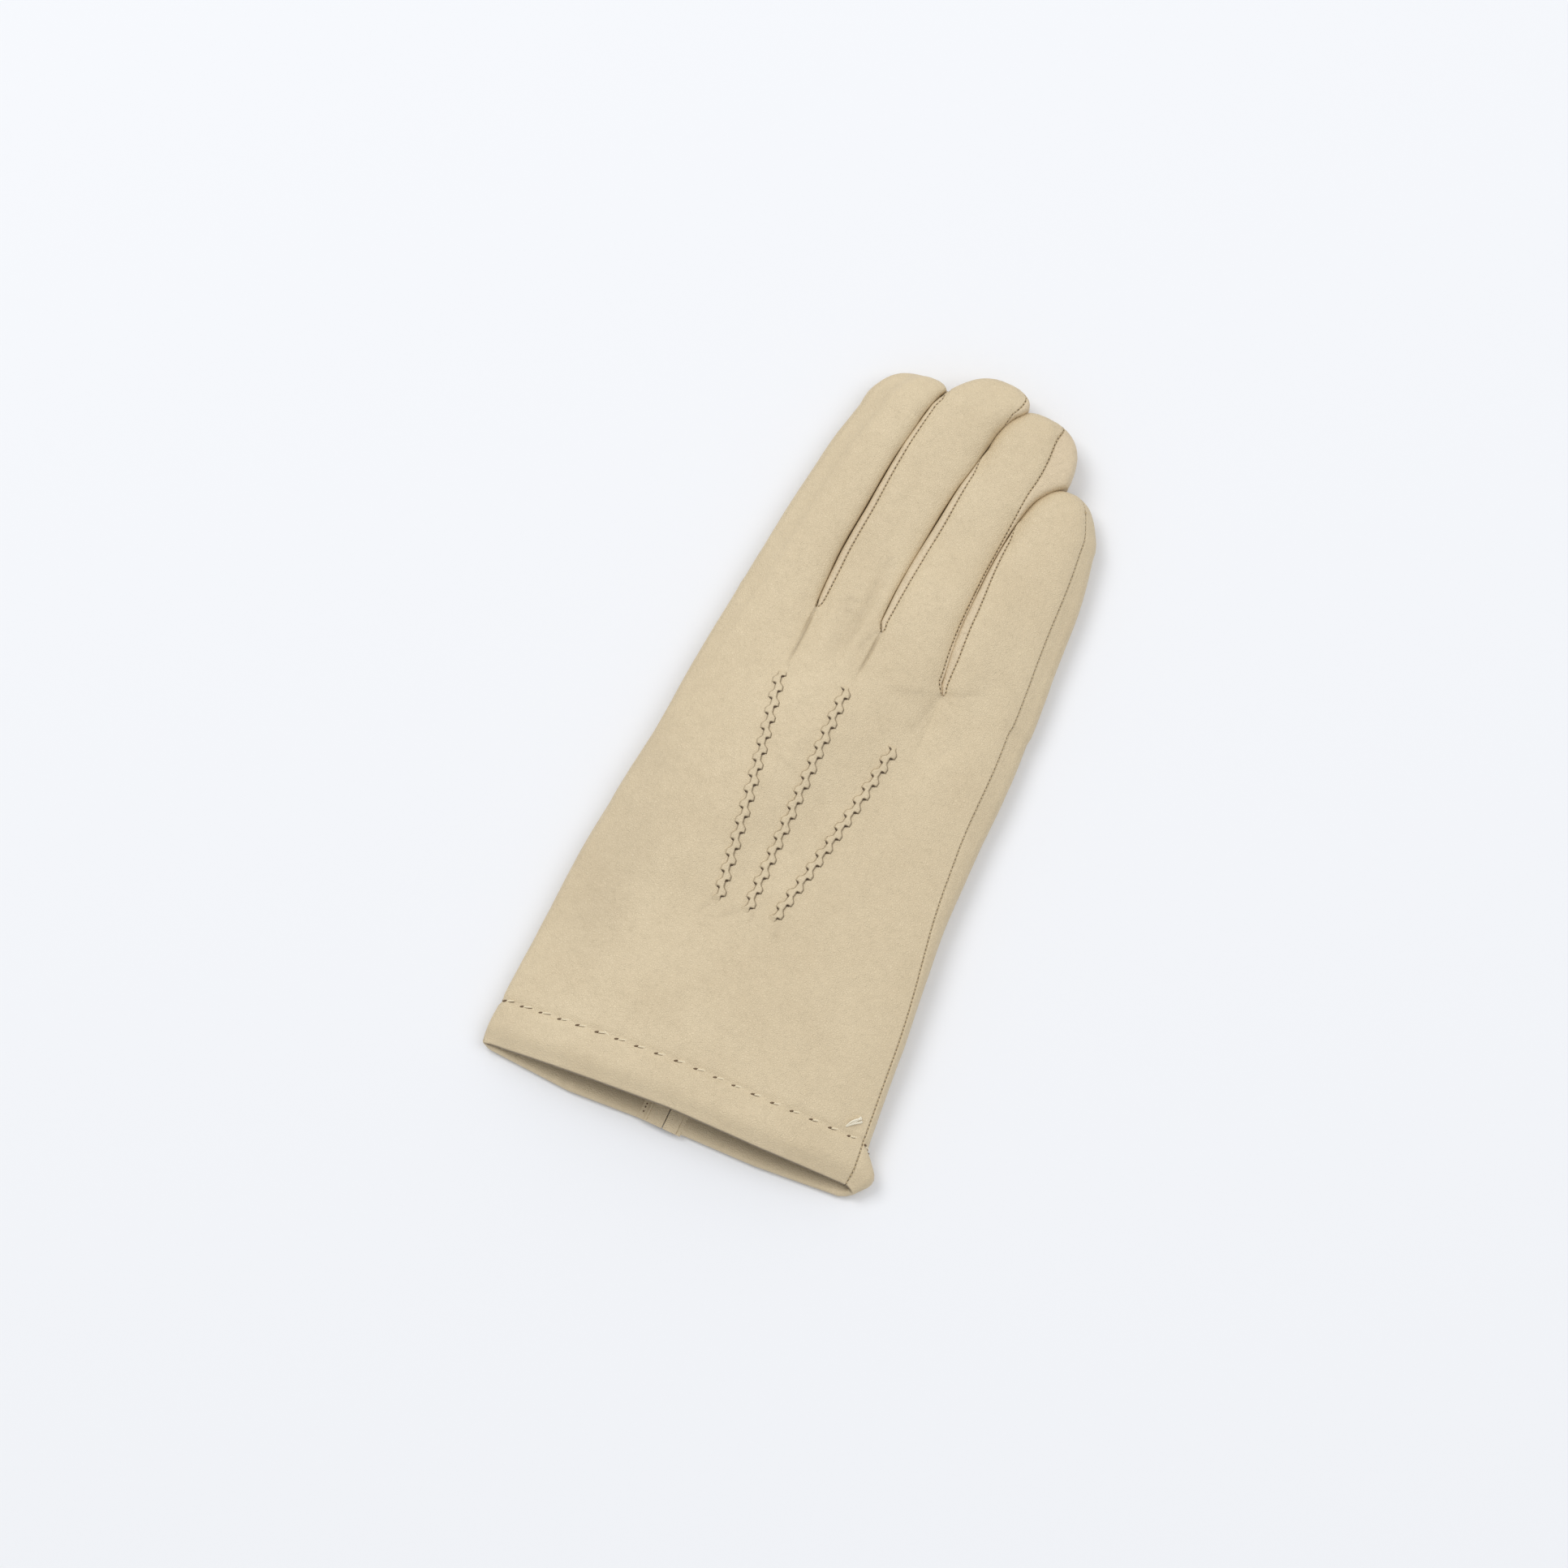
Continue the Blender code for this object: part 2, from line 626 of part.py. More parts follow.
def thumb_ring(t, angle):
    """A closed row of points round the thumb; angle turns it in at either end."""
    place, heading = thumb_spine(t)
    side = Vector((heading.y, -heading.x))
    half = read_table(THUMB_SECTIONS, "width", t) * THUMB_WIDTH / 2.0
    depth = read_table(THUMB_SECTIONS, "depth", t) * THUMB_DEPTH
    bend = math.radians(angle)
    centre = place + heading * half * math.sin(bend)
    narrow = math.cos(bend) ** THUMB_BLUNTNESS
    thin = math.cos(bend) ** THUMB_DEPTH_BLUNTNESS
    ring = []
    for column in range(THUMB_COLUMNS * 2):
        turn = math.pi * (column + 0.5) / THUMB_COLUMNS
        across, up = math.cos(turn), math.sin(turn)
        across = math.copysign(abs(across) ** THUMB_SIDE_POWER, across)
        up = math.copysign(abs(up) ** (THUMB_TOP_POWER if up > 0.0 else THUMB_UNDER_POWER), up)
        spot = centre + side * across * half * narrow
        ring.append(Vector((spot.x, spot.y, depth * (0.5 + 0.5 * up * thin))))
    return ring


def thumb_skin():
    """The closed outer face of the thumb."""
    skin = bmesh.new()
    stations = [(0.0, -angle) for angle in reversed(THUMB_END_ANGLES)]
    stations += [(i / THUMB_ROWS, 0.0) for i in range(THUMB_ROWS + 1)]
    stations += [(1.0, angle) for angle in THUMB_END_ANGLES]
    rings = [add_run(skin, thumb_ring(t, angle)) for t, angle in stations]
    for ring, following in zip(rings, rings[1:]):
        bridge(skin, ring, following, [0] * len(ring))
    skin.faces.new(rings[0])
    skin.faces.new(rings[-1])
    bmesh.ops.triangulate(skin, faces=[f for f in skin.faces if len(f.verts) > 4])
    bmesh.ops.recalc_face_normals(skin, faces=skin.faces[:])
    return skin


def add_cutter(name, outline, low, high, collection):
    """An upright cutter with the given outline, hidden from the build."""
    cutter = bmesh.new()
    face = cutter.faces.new([cutter.verts.new((x, y, low)) for x, y in outline])
    made = bmesh.ops.extrude_face_region(cutter, geom=[face], use_keep_orig=True)
    lift = Vector((0.0, 0.0, high - low))
    raised = [part for part in made["geom"] if isinstance(part, bmesh.types.BMVert)]
    bmesh.ops.translate(cutter, vec=lift, verts=raised)
    bmesh.ops.recalc_face_normals(cutter, faces=cutter.faces[:])
    thing = bpy.data.objects.new(name, mesh_from(cutter, name))
    thing.hide_render = True
    thing.display_type = "WIRE"
    collection.objects.link(thing)
    return thing


def cut(thing, cutter):
    """Take a cutter's volume out of an object."""
    boolean = thing.modifiers.new(cutter.name, "BOOLEAN")
    boolean.operation = "DIFFERENCE"
    boolean.solver = "EXACT"
    boolean.object = cutter


def thumb_hole_outline():
    """The oval hole that joins the thumb to the palm, in line with the thumb's root."""
    place, heading = thumb_spine(THUMB_HOLE_PLACE)
    side = Vector((heading.y, -heading.x))
    outline = []
    for step in range(THUMB_HOLE_SIDES):
        turn = math.tau * step / THUMB_HOLE_SIDES
        spot = place + heading * math.sin(turn) * THUMB_HOLE_LENGTH / 2.0
        spot += side * math.cos(turn) * THUMB_HOLE_WIDTH / 2.0
        outline.append((spot.x, spot.y))
    return outline


def vent_line(offset, steps):
    """Half round-ended outline of the vent, offset from its middle line."""
    middle = VENT_PLACE * PALM_WIDTH
    end = VENT_LENGTH + LANES[2].palm_edge * PALM_LENGTH
    mouth = (LANES[1].palm_edge + VENT_START) * PALM_LENGTH
    turn = [math.pi * i / steps for i in range(steps + 1)]
    arc = [(middle + offset * math.cos(t), end + offset * math.sin(t)) for t in turn]
    return [(middle + offset, mouth)] + arc + [(middle - offset, mouth)]


def make_tube(name, places, width, finish, collection):
    """A round rod of leather along a line of places."""
    curve = bpy.data.curves.new(name, "CURVE")
    curve.dimensions = "3D"
    curve.bevel_depth = width / 2.0
    curve.bevel_resolution = 1
    curve.use_fill_caps = True
    line = curve.splines.new("POLY")
    line.points.add(len(places) - 1)
    for point, place in zip(line.points, places):
        point.co = (*place, 1.0)
    thing = bpy.data.objects.new(name, curve)
    curve.materials.append(finish)
    collection.objects.link(thing)
    return thing


def make_points(skin, finish, collection):
    """The three raised tucks that run down the back."""
    surface = BVHTree.FromBMesh(skin)
    for point in POINTS:
        places = []
        for step in range(POINT_STATIONS):
            share = step / (POINT_STATIONS - 1)
            across = mix(point.wrist_across, point.finger_across, share)
            across += point.bend * math.sin(math.pi * share)
            length = POINT_LENGTH / (PALM_LENGTH * (point.finger_along - point.wrist_along))
            along = mix(point.finger_along, point.wrist_along, (1.0 - share) * min(length, 1.0))
            above = Vector((across * PALM_WIDTH, along * PALM_LENGTH, 1.0))
            hit = surface.ray_cast(above, Vector((0.0, 0.0, -1.0)))[0]
            places.append(hit + Vector((0.0, 0.0, POINT_WIDTH / 2.0 + SEAM_GAP)))
        make_tube(point.name, places, POINT_WIDTH, finish, collection)


def make_vent(finish, collection):
    """The bound slit in the palm side of the cuff and the facings inside it."""
    radius = (VENT_OPENING + BINDING_WIDTH) / 2.0
    rolled = [(x, y, BINDING_WIDTH / 2.0) for x, y in vent_line(radius, VENT_STEPS)]
    make_tube("vent_binding", rolled, BINDING_WIDTH, finish, collection)
    middle = VENT_PLACE * PALM_WIDTH
    mouth = rolled[0][1]
    for name, way in (("vent_facing_left", -1.0), ("vent_facing_right", 1.0)):
        block = bmesh.new()
        bmesh.ops.create_cube(block, size=1.0)
        bmesh.ops.scale(block, vec=(FACING_WIDTH, VENT_LENGTH, FACING_THICKNESS), verts=block.verts[:])
        place = (
            middle + way * (SEAM_GAP + FACING_WIDTH / 2.0),
            mouth + VENT_LENGTH / 2.0,
            BINDING_WIDTH + SEAM_GAP + FACING_THICKNESS / 2.0,
        )
        bmesh.ops.translate(block, vec=place, verts=block.verts[:])
        bmesh.ops.bevel(
            block, geom=block.edges[:], offset=FACING_THICKNESS * 0.3, segments=1,
            profile=0.5, affect="EDGES", material=-1,
        )
        add_object(name, mesh_from(block, name), finish, collection)


def make_quirk(skin, finish, collection):
    """The small gusset in the crotch of the thumb, under the palm's lifted leather."""
    surface = BVHTree.FromBMesh(skin)
    patch = bmesh.new()
    centre = Vector((QUIRK_PLACE[0] * PALM_WIDTH, QUIRK_PLACE[1] * PALM_LENGTH))
    heading = thumb_spine(0.5)[1]
    side = Vector((heading.y, -heading.x))
    rings = []
    for ring in range(1, QUIRK_RINGS + 1):
        row = []
        for step in range(QUIRK_SIDES):
            turn = math.tau * step / QUIRK_SIDES
            reach = (1.0 + QUIRK_POINTEDNESS * math.cos(3.0 * turn)) * ring / QUIRK_RINGS
            spot = centre + heading * math.cos(turn) * QUIRK_LENGTH / 2.0 * reach
            spot += side * math.sin(turn) * QUIRK_WIDTH / 2.0 * reach
            row.append(patch.verts.new(under_palm(surface, spot)))
        rings.append(row)
    middle = patch.verts.new(under_palm(surface, centre))
    for vertex, after in zip(rings[0], rings[0][1:] + rings[0][:1]):
        patch.faces.new((vertex, after, middle))
    for ring, following in zip(rings, rings[1:]):
        bridge(patch, ring, following, [0] * len(ring))
    bmesh.ops.recalc_face_normals(patch, faces=patch.faces[:])
    whole = patch.verts[:] + patch.edges[:] + patch.faces[:]
    made = bmesh.ops.extrude_face_region(patch, geom=whole, use_keep_orig=True)
    lower = [part for part in made["geom"] if isinstance(part, bmesh.types.BMVert)]
    bmesh.ops.translate(patch, vec=(0.0, 0.0, -QUIRK_WALL), verts=lower)
    bmesh.ops.recalc_face_normals(patch, faces=patch.faces[:])
    add_object("quirk", mesh_from(patch, "quirk"), finish, collection)


def under_palm(surface, spot):
    """A place just under the palm, and never so low that the gusset meets the floor."""
    below = Vector((spot.x, spot.y, -PALM_WIDTH))
    hit = surface.ray_cast(below, Vector((0.0, 0.0, 1.0)))[0]
    return Vector((spot.x, spot.y, max(hit.z - QUIRK_SEAT, QUIRK_WALL)))


def make_thumb(finish, collection, hole):
    """The hollow thumb, open to the hand where it is sewn to the palm."""
    thumb = add_object("thumb", mesh_from(thumb_skin(), "thumb"), finish, collection)
    wall = thumb.modifiers.new("wall", "SOLIDIFY")
    wall.thickness = THUMB_WALL
    wall.offset = -1.0
    cut(thumb, hole)


def make_trank(skin, finish, collection, hole, vent):
    """The back and the palm of the glove."""
    back = shell_from_skin(skin, BACK, TRANK_WALL)
    add_object("trank_back", mesh_from(back, "trank_back"), finish, collection)
    palm = shell_from_skin(skin, PALM, TRANK_WALL)
    thing = add_object("trank_palm", mesh_from(palm, "trank_palm"), finish, collection)
    cut(thing, hole)
    cut(thing, vent)


def make_fourchettes(skin, finish, collection):
    """The forked strips that form the sides between neighbouring fingers."""
    for fork in range(len(FINGERS) - 1):
        name = f"fourchette_{FINGERS[fork].name}_{FINGERS[fork + 1].name}"
        strip = shell_from_skin(skin, FORKS + fork, FOURCHETTE_WALL)
        add_object(name, mesh_from(strip, name), finish, collection)


def centre_on_floor(collection):
    """Bring the middle of the glove's outline, seen from above, over the origin."""
    left, right = hand_edges(0.0)
    front = min(lane.palm_edge for lane in LANES) * PALM_LENGTH
    back = max(finger.tip_along for finger in FINGERS) * FINGER_LENGTH + PALM_LENGTH
    shift = Vector((-(left + right) / 2.0, -(front + back) / 2.0, 0.0))
    for thing in collection.objects:
        thing.location += shift


def build_glove():
    """All of the glove's pieces."""
    for thing in list(bpy.data.objects):
        bpy.data.objects.remove(thing, do_unlink=True)
    glove = bpy.data.collections.new("leather_glove")
    cutters = bpy.data.collections.new("cutters")
    bpy.context.scene.collection.children.link(glove)
    bpy.context.scene.collection.children.link(cutters)
    skin = glove_skin()
    trank_leather = leather("lamb_nappa", LEATHER_COLOUR, 0.45)
    trim_leather = leather("lamb_nappa_trim", SEAM_COLOUR, 0.5)
    low = THUMB_DEPTH / 2.0
    hole = add_cutter("thumb_hole", thumb_hole_outline(), low, low + THUMB_DEPTH, cutters)
    slot_radius = (VENT_OPENING + BINDING_WIDTH * 2.0) / 2.0 + SEAM_GAP
    overcut = VENT_OVERCUT * PALM_LENGTH
    slot = [(x, y) if y > 0.0 else (x, y - overcut) for x, y in vent_line(slot_radius, VENT_STEPS)]
    vent = add_cutter("vent_slot", slot, -TRANK_WALL, TRANK_WALL * 2.0, cutters)
    make_trank(skin, trank_leather, glove, hole, vent)
    make_fourchettes(skin, trank_leather, glove)
    make_thumb(trank_leather, glove, hole)
    make_quirk(skin, trank_leather, glove)
    make_points(skin, trim_leather, glove)
    make_vent(trim_leather, glove)
    skin.free()
    centre_on_floor(glove)
    centre_on_floor(cutters)


build_glove()
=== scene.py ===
"""A right-hand dress glove of beige lamb nappa, lined with knitted cashmere and lying flat.

The hand points along +Y with its back up, the index finger is on the -X side and the thumb
is folded flat under the palm. Forms are worked out in millimetres in the glove's own frame,
whose y is 0 at the cuff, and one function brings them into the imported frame.
"""
import logging
import math
from dataclasses import dataclass
from enum import Enum
from functools import partial
from typing import Callable, NamedTuple, Sequence

import bmesh
import bpy
import numpy as np
from bmesh.types import BMesh, BMFace, BMVert
from bpy.types import ID, Material, Node, NodeSocket, NodeTree, Object
from mathutils import Matrix, Vector, noise
from mathutils.bvhtree import BVHTree
from mathutils.kdtree import KDTree


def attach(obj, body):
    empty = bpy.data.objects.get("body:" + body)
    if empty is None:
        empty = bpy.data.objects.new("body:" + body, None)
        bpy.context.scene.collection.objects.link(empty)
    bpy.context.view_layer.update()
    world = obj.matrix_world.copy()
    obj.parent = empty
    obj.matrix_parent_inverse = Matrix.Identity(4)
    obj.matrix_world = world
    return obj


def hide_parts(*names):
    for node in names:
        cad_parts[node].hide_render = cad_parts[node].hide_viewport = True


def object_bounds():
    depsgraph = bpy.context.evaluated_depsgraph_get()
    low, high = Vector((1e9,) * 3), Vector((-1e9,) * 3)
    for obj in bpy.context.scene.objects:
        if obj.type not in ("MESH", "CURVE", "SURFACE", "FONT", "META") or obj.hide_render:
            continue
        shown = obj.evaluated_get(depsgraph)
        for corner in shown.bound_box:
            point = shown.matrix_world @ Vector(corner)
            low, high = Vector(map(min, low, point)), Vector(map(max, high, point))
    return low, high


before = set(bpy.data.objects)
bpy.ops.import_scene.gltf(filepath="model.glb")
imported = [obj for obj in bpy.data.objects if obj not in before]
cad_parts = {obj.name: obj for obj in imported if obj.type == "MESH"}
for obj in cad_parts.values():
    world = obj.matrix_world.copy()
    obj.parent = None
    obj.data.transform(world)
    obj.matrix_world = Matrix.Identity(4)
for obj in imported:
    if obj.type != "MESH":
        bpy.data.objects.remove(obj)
Array = np.ndarray
Bounds = tuple[Vector, Vector]
Seam = tuple[Array, Array]
Pair = tuple[float, float]
Form = Callable[[Array, Array], Array]
log = logging.getLogger("glove")
MM = 0.001
TINY = 1e-9
VAST = 1e9

# Driving sizes of the glove: lengths in millimetres, and a few shares, powers and stations
PALM_LENGTH = 151.0
PALM_WIDTH = 104.2
CUFF_WIDTH = 119.5
FINGER_LENGTH = 89.8
HAND_DEPTH = 16.4
FINGER_DEPTH = 13.8
THUMB_WIDTH = 27.0
THUMB_DEPTH = 9.0
THUMB_SEAT = 0.7
FINGER_OVERLAP = 0.32
FOLD_INSET = 6.0
OUTSEAM_INSET = 6.0
LOWER_INSET = 4.0
FORK_LOWER_INSET = 3.0
WEB_DIP = 2.0
WEB_RISE = 1.8
BULGE_SHARE = 0.52
BULGE_POWER = 4.0
OUTER_POWER = 6.0
WEB_POWER = 4
TRANK_WALL = 1.5
CUFF_WALL = 2.3
HEM_DEPTH = 14.1
TURNED_HEM = 27.0
MET = 1.92  # the station on a fingertip where the back and the palm meet
SEAM_SAMPLE = 0.35
REST = 0.2
WELD = 1e-4
TUBE_WELD = 1e-5
VENT_LENGTH = 32.0
VENT_OPENING = 0.9
VENT_LANE = 2
VENT_CLOSES = 4.0
VENT_SLACK = 0.7
VENT_REACH = 9.0
BINDING_WIDTH = 1.9
MACHINE_PITCH = 1.25
HEM_PITCH = 6.3
POINT_PITCH = 4.92
PACKED_EDGE = -0.052


def table(kind: type, *rows: tuple) -> tuple:
    """The rows of a table as named tuples of one kind."""
    return tuple(kind(*row) for row in rows)


class HandSection(NamedTuple):
    """A row of the hand's outline: shares of its length, width, flare and depth."""

    along: float
    centre: float
    flare: float
    ridge: float
    side: float


HAND_SECTIONS = table(
    HandSection,
    (0.00, -0.021, 1.00, 0.98, 0.50),
    (0.18, -0.029, 0.77, 1.00, 0.56),
    (0.35, -0.035, 0.54, 1.00, 0.63),
    (0.51, -0.037, 0.24, 1.00, 0.68),
    (0.68, -0.028, 0.00, 0.98, 0.69),
    (0.87, -0.019, -0.14, 0.93, 0.68),
    (1.00, -0.014, -0.34, 0.88, 0.66),
)


class Lane(NamedTuple):
    """A line that divides two fingers, as shares of the palm's width and length."""

    cuff_share: float
    crotch_share: float
    crotch: float
    back_edge: float
    palm_edge: float


LANES = table(
    Lane,
    (0.00, 0.000, 1.007, -0.044, -0.053),
    (0.25, 0.248, 1.019, -0.031, -0.061),
    (0.50, 0.462, 1.022, -0.016, -0.047),
    (0.75, 0.710, 0.958, -0.012, -0.041),
    (1.00, 1.000, 0.947, -0.003, -0.025),
)


class FingerSection(NamedTuple):
    """A row of a finger: its edges as shares of the palm's width, and its seams' insets in mm."""

    along: float
    left: float
    right: float
    left_inset: float
    right_inset: float


class TipSection(NamedTuple):
    """The edges of a fingertip in mm, by the angle that it has turned in, in degrees."""

    along: float
    left: float
    right: float


class Finger(NamedTuple):
    """A finger's sections, the place of its tip as a share and the outline of its tip.

    Its right side rolls down to rolled, a share of its depth, and hides its seam up to a station;
    its left seam slips out of sight from another station on.
    """

    name: str
    tip_along: float
    rolled: float
    tucked_to: float
    slips: float
    sections: tuple[FingerSection, ...]
    tip: tuple[TipSection, ...]


FINGERS = (
    Finger("index", 0.926, 0.90, 9.0, 1.0, table(
        FingerSection,
        (-0.01, -0.489, -0.254, FOLD_INSET, 0.6),
        (0.21, -0.470, -0.260, FOLD_INSET, 0.6),
        (0.43, -0.447, -0.247, FOLD_INSET, 0.6),
        (0.60, -0.427, -0.235, FOLD_INSET, 0.6),
        (0.746, -0.398, -0.217, FOLD_INSET, 0.6),
    ), table(
        TipSection,
        (16, -41.0, -22.0), (31, -39.4, -21.0), (46, -37.2, -20.0),
        (61, -34.2, -19.0), (75, -30.0, -20.6), (84, -27.0, -22.2),
        (90, -24.0, -24.0),
    )),
    Finger("middle", 1.016, 0.84, 1.02, 1.10, table(
        FingerSection,
        (-0.01, -0.254, -0.058, 1.3, 0.6),
        (0.08, -0.259, -0.062, 2.1, 0.6),
        (0.21, -0.260, -0.061, 2.5, 0.6),
        (0.43, -0.247, -0.046, 2.4, 0.6),
        (0.60, -0.235, -0.029, 2.0, 0.6),
        (0.70, -0.223, -0.012, 1.7, 0.7),
        (0.835, -0.200, 0.007, 1.2, 2.3),
    ), table(
        TipSection,
        (25, -18.0, 3.6), (40, -15.2, 6.2), (58, -11.5, 5.2),
        (75, -7.2, 1.6), (84, -4.6, -0.4), (90, -2.4, -2.4),
    )),
    Finger("ring", 0.963, 0.78, 0.0, 0.86, table(
        FingerSection,
        (-0.01, -0.058, 0.169, 1.3, 0.8),
        (0.08, -0.062, 0.160, 1.9, 0.9),
        (0.21, -0.061, 0.154, 2.5, 0.8),
        (0.43, -0.046, 0.156, 2.6, 0.7),
        (0.60, -0.029, 0.171, 2.0, 1.4),
        (0.68, -0.016, 0.190, 1.4, 2.9),
        (0.73, -0.008, 0.221, 1.0, 5.4),
        (0.77, 0.001, 0.258, 0.8, 8.8),
    ), table(
        TipSection,
        (15, 0.4, 27.0), (34, 1.6, 25.9), (50, 3.6, 23.6),
        (63, 5.2, 20.7), (75, 7.2, 17.4), (84, 9.4, 14.8),
        (90, 12.2, 12.2),
    )),
    Finger("little", 0.759, 0.76, 0.0, 0.88, table(
        FingerSection,
        (-0.09, 0.176, 0.470, 1.8, OUTSEAM_INSET),
        (-0.01, 0.169, 0.467, 2.1, OUTSEAM_INSET),
        (0.08, 0.160, 0.461, 2.8, OUTSEAM_INSET),
        (0.21, 0.154, 0.452, 2.8, OUTSEAM_INSET),
        (0.43, 0.156, 0.438, 1.7, 5.5),
        (0.588, 0.170, 0.413, 0.8, 4.2),
    ), table(
        TipSection,
        (12, 18.2, 42.6), (30, 19.4, 40.4), (45, 21.0, 38.3),
        (60, 22.9, 36.0), (72, 25.0, 33.8), (82, 27.2, 31.9),
        (90, 29.6, 29.6),
    )),
)


class ThumbSection(NamedTuple):
    """A row of the folded thumb: shares of its width and depth."""

    along: float
    width: float
    depth: float


THUMB_ROOT = (-0.317, 0.503)
THUMB_BEND = (-0.211, 0.795)
THUMB_END = (0.131, 1.090)
THUMB_SECTIONS = table(
    ThumbSection,
    (0.00, 0.78, 0.72),
    (0.25, 0.93, 0.96),
    (0.50, 1.00, 1.00),
    (0.80, 1.00, 0.98),
    (1.00, 0.96, 0.94),
)


class Tuck(NamedTuple):
    """A whipped tuck of the back: its two ends as shares of the palm, and its bend."""

    name: str
    wrist_across: float
    wrist_along: float
    bend: float
    finger_across: float
    finger_along: float


TUCKS = table(
    Tuck,
    ("index", -0.143, 0.388, 0.008, -0.264, 0.872),
    ("middle", -0.056, 0.391, 0.000, -0.067, 0.894),
    ("ring", 0.021, 0.396, 0.007, 0.130, 0.828),
)


class Crease(NamedTuple):
    """A fold pressed into the back: places in mm, its half width and depth, and how much painted shade it
    gets.
    """

    places: tuple[Pair, ...]
    width: float
    depth: float
    shade: float = 0.0


CREASES = table(
    Crease,
    (((-26.4, 153.6), (-26.4, 144), (-26.8, 132)), 0.42, 0.46, 0.34),
    (((-52, 90), (-48, 54), (-44, 18)), 11.0, 0.9, 0.09),
    (((-34, 120), (-36, 90), (-38, 60)), 6.0, 0.35),
    (((30, 60), (34, 40), (38, 24)), 6.0, 0.4),
    (((-25.4, 153), (-24.0, 148), (-23.6, 143)), 0.7, 0.20),
    (((-12.0, 176), (-12.4, 163), (-13.4, 150), (-14.4, 136)), 1.5, 1.1, 0.10),
    (((-17.4, 158), (-16.8, 148), (-16.4, 138)), 1.6, 0.4, 0.07),
    (((-20.5, 158.5), (-18, 160), (-13.6, 160.3)), 0.6, 0.22, 0.12),
    (((-19.0, 155.5), (-16.6, 156.4), (-13.4, 155.6)), 0.6, 0.20, 0.10),
    (((-20.0, 151.2), (-17.6, 151.8), (-14.6, 150.6)), 0.6, 0.18),
    (((-5.2, 154.2), (-5.3, 147), (-6.0, 137)), 0.42, 0.42, 0.28),
    (((-6.2, 154), (-8.2, 150), (-9.4, 145)), 0.6, 0.30, 0.15),
    (((-7.6, 154.4), (-9.8, 149.6), (-11.0, 145)), 0.6, 0.22),
    (((5, 139.5), (11, 141.4), (18.2, 144.4)), 0.8, 0.30, 0.10),
    (((8, 135.4), (14, 138.6), (18.4, 143.4)), 0.8, 0.26),
    (((9, 145.6), (13, 146.2), (16.4, 147.2)), 0.5, 0.14),
    (((19.4, 144.4), (25, 147.2), (31, 150.8)), 0.8, 0.32, 0.10),
    (((19.4, 143.6), (23, 142.6), (28, 144.2)), 0.8, 0.24),
    (((18.6, 144), (17.4, 137), (14.2, 127)), 1.0, 0.34, 0.08),
    (((35, 141), (28, 129), (20, 115)), 3.0, 0.30),
    (((-16.0, 59.6), (-17.4, 57.4), (-19.4, 54.4)), 0.8, 0.34, 0.1),
    (((-8.6, 60.2), (-10.6, 57.8), (-13.0, 54.6)), 0.8, 0.34, 0.13),
    (((-3.6, 60.6), (-3.6, 58.6), (-3.9, 55.6)), 0.7, 0.28, 0.1),
    (((4.2, 60.8), (4.6, 58.4), (5.2, 55.0)), 0.8, 0.30, 0.12),
    (((-28, 219.0), (-25, 219.8), (-22.4, 219.2)), 0.6, 0.14, 0.1),
    (((-35, 221.6), (-30, 222.6), (-25, 223.2)), 0.5, 0.10),
    (((-14, 222.6), (-9, 223.8), (-4, 223.2)), 0.5, 0.12),
    (((10, 219.4), (14, 220.4), (17, 219.6)), 0.5, 0.10),
    (((50.5, 33), (48, 30.6), (45.6, 29)), 0.7, 0.24),
    (((-2, 3.2), (4, 4.8), (9, 5.2)), 1.2, 0.26),
    (((12, 3.6), (18, 8.0), (22, 12.6)), 1.0, 0.22),
    (((33, 3.4), (36, 8.6), (41, 13.8)), 1.2, 0.24),
    (((-44, 0.5), (-40, 4.6), (-38, 8.2)), 1.1, 0.18),
    (((-22, 4.0), (-18, 7.2), (-16, 10.6)), 1.1, 0.16),
    (((-46, 176), (-40, 172), (-33, 171)), 2.2, 0.20),
    (((24, 182), (31, 178), (40, 179)), 2.0, 0.20),
    (((-4, 190), (3, 187), (12, 189)), 2.2, 0.18),
)


def smooth(share: Array | float) -> Array:
    """Ease from 0 to 1."""
    share = np.clip(share, 0.0, 1.0)
    return share * share * (3.0 - 2.0 * share)


def eased(at: Array | float, start: float, span: float) -> Array:
    """Ease from 0 to 1 over a span that begins at a start."""
    return smooth((at - start) / span)


def mix(start: Array | float, end: Array | float, share: Array | float) -> Array:
    """The value a share of the way from start to end."""
    return start + (end - start) * share


def crown(share: Array | float, power: float) -> Array:
    """The rise of a rounded panel, 1 at its middle and 0 at both its edges."""
    return 1.0 - np.minimum(np.abs(share), 1.0) ** power


def places(x: Array | float, y: Array | float, z: Array | float) -> Array:
    """Points from their three coordinates."""
    return np.stack(np.broadcast_arrays(x, y, z), axis=-1).astype(float)


def unit(ways: Array) -> Array:
    """Directions of length 1."""
    return ways / np.maximum(np.linalg.norm(ways, axis=-1, keepdims=True), TINY)


def beside(spot: Array, heading: Array, ahead: Array | float, aside: Array) -> tuple[Array, Array]:
    """The x and y of places ahead of a spot and to the right of its heading."""
    x = spot[..., 0] + heading[..., 0] * ahead + heading[..., 1] * aside
    return x, spot[..., 1] + heading[..., 1] * ahead - heading[..., 0] * aside


def laid(x: Array, y: Array, height: Callable[[float, float], float]) -> Array:
    """Places whose heights are asked one by one."""
    found = [height(a, b) for a, b in zip(np.ravel(x), np.ravel(y))]
    return places(x, y, np.reshape(found, np.shape(x)))


def upright(line: Array, way: float) -> Array:
    """The way straight up or down at every place of a line."""
    return np.tile((0.0, 0.0, way), (len(line), 1))


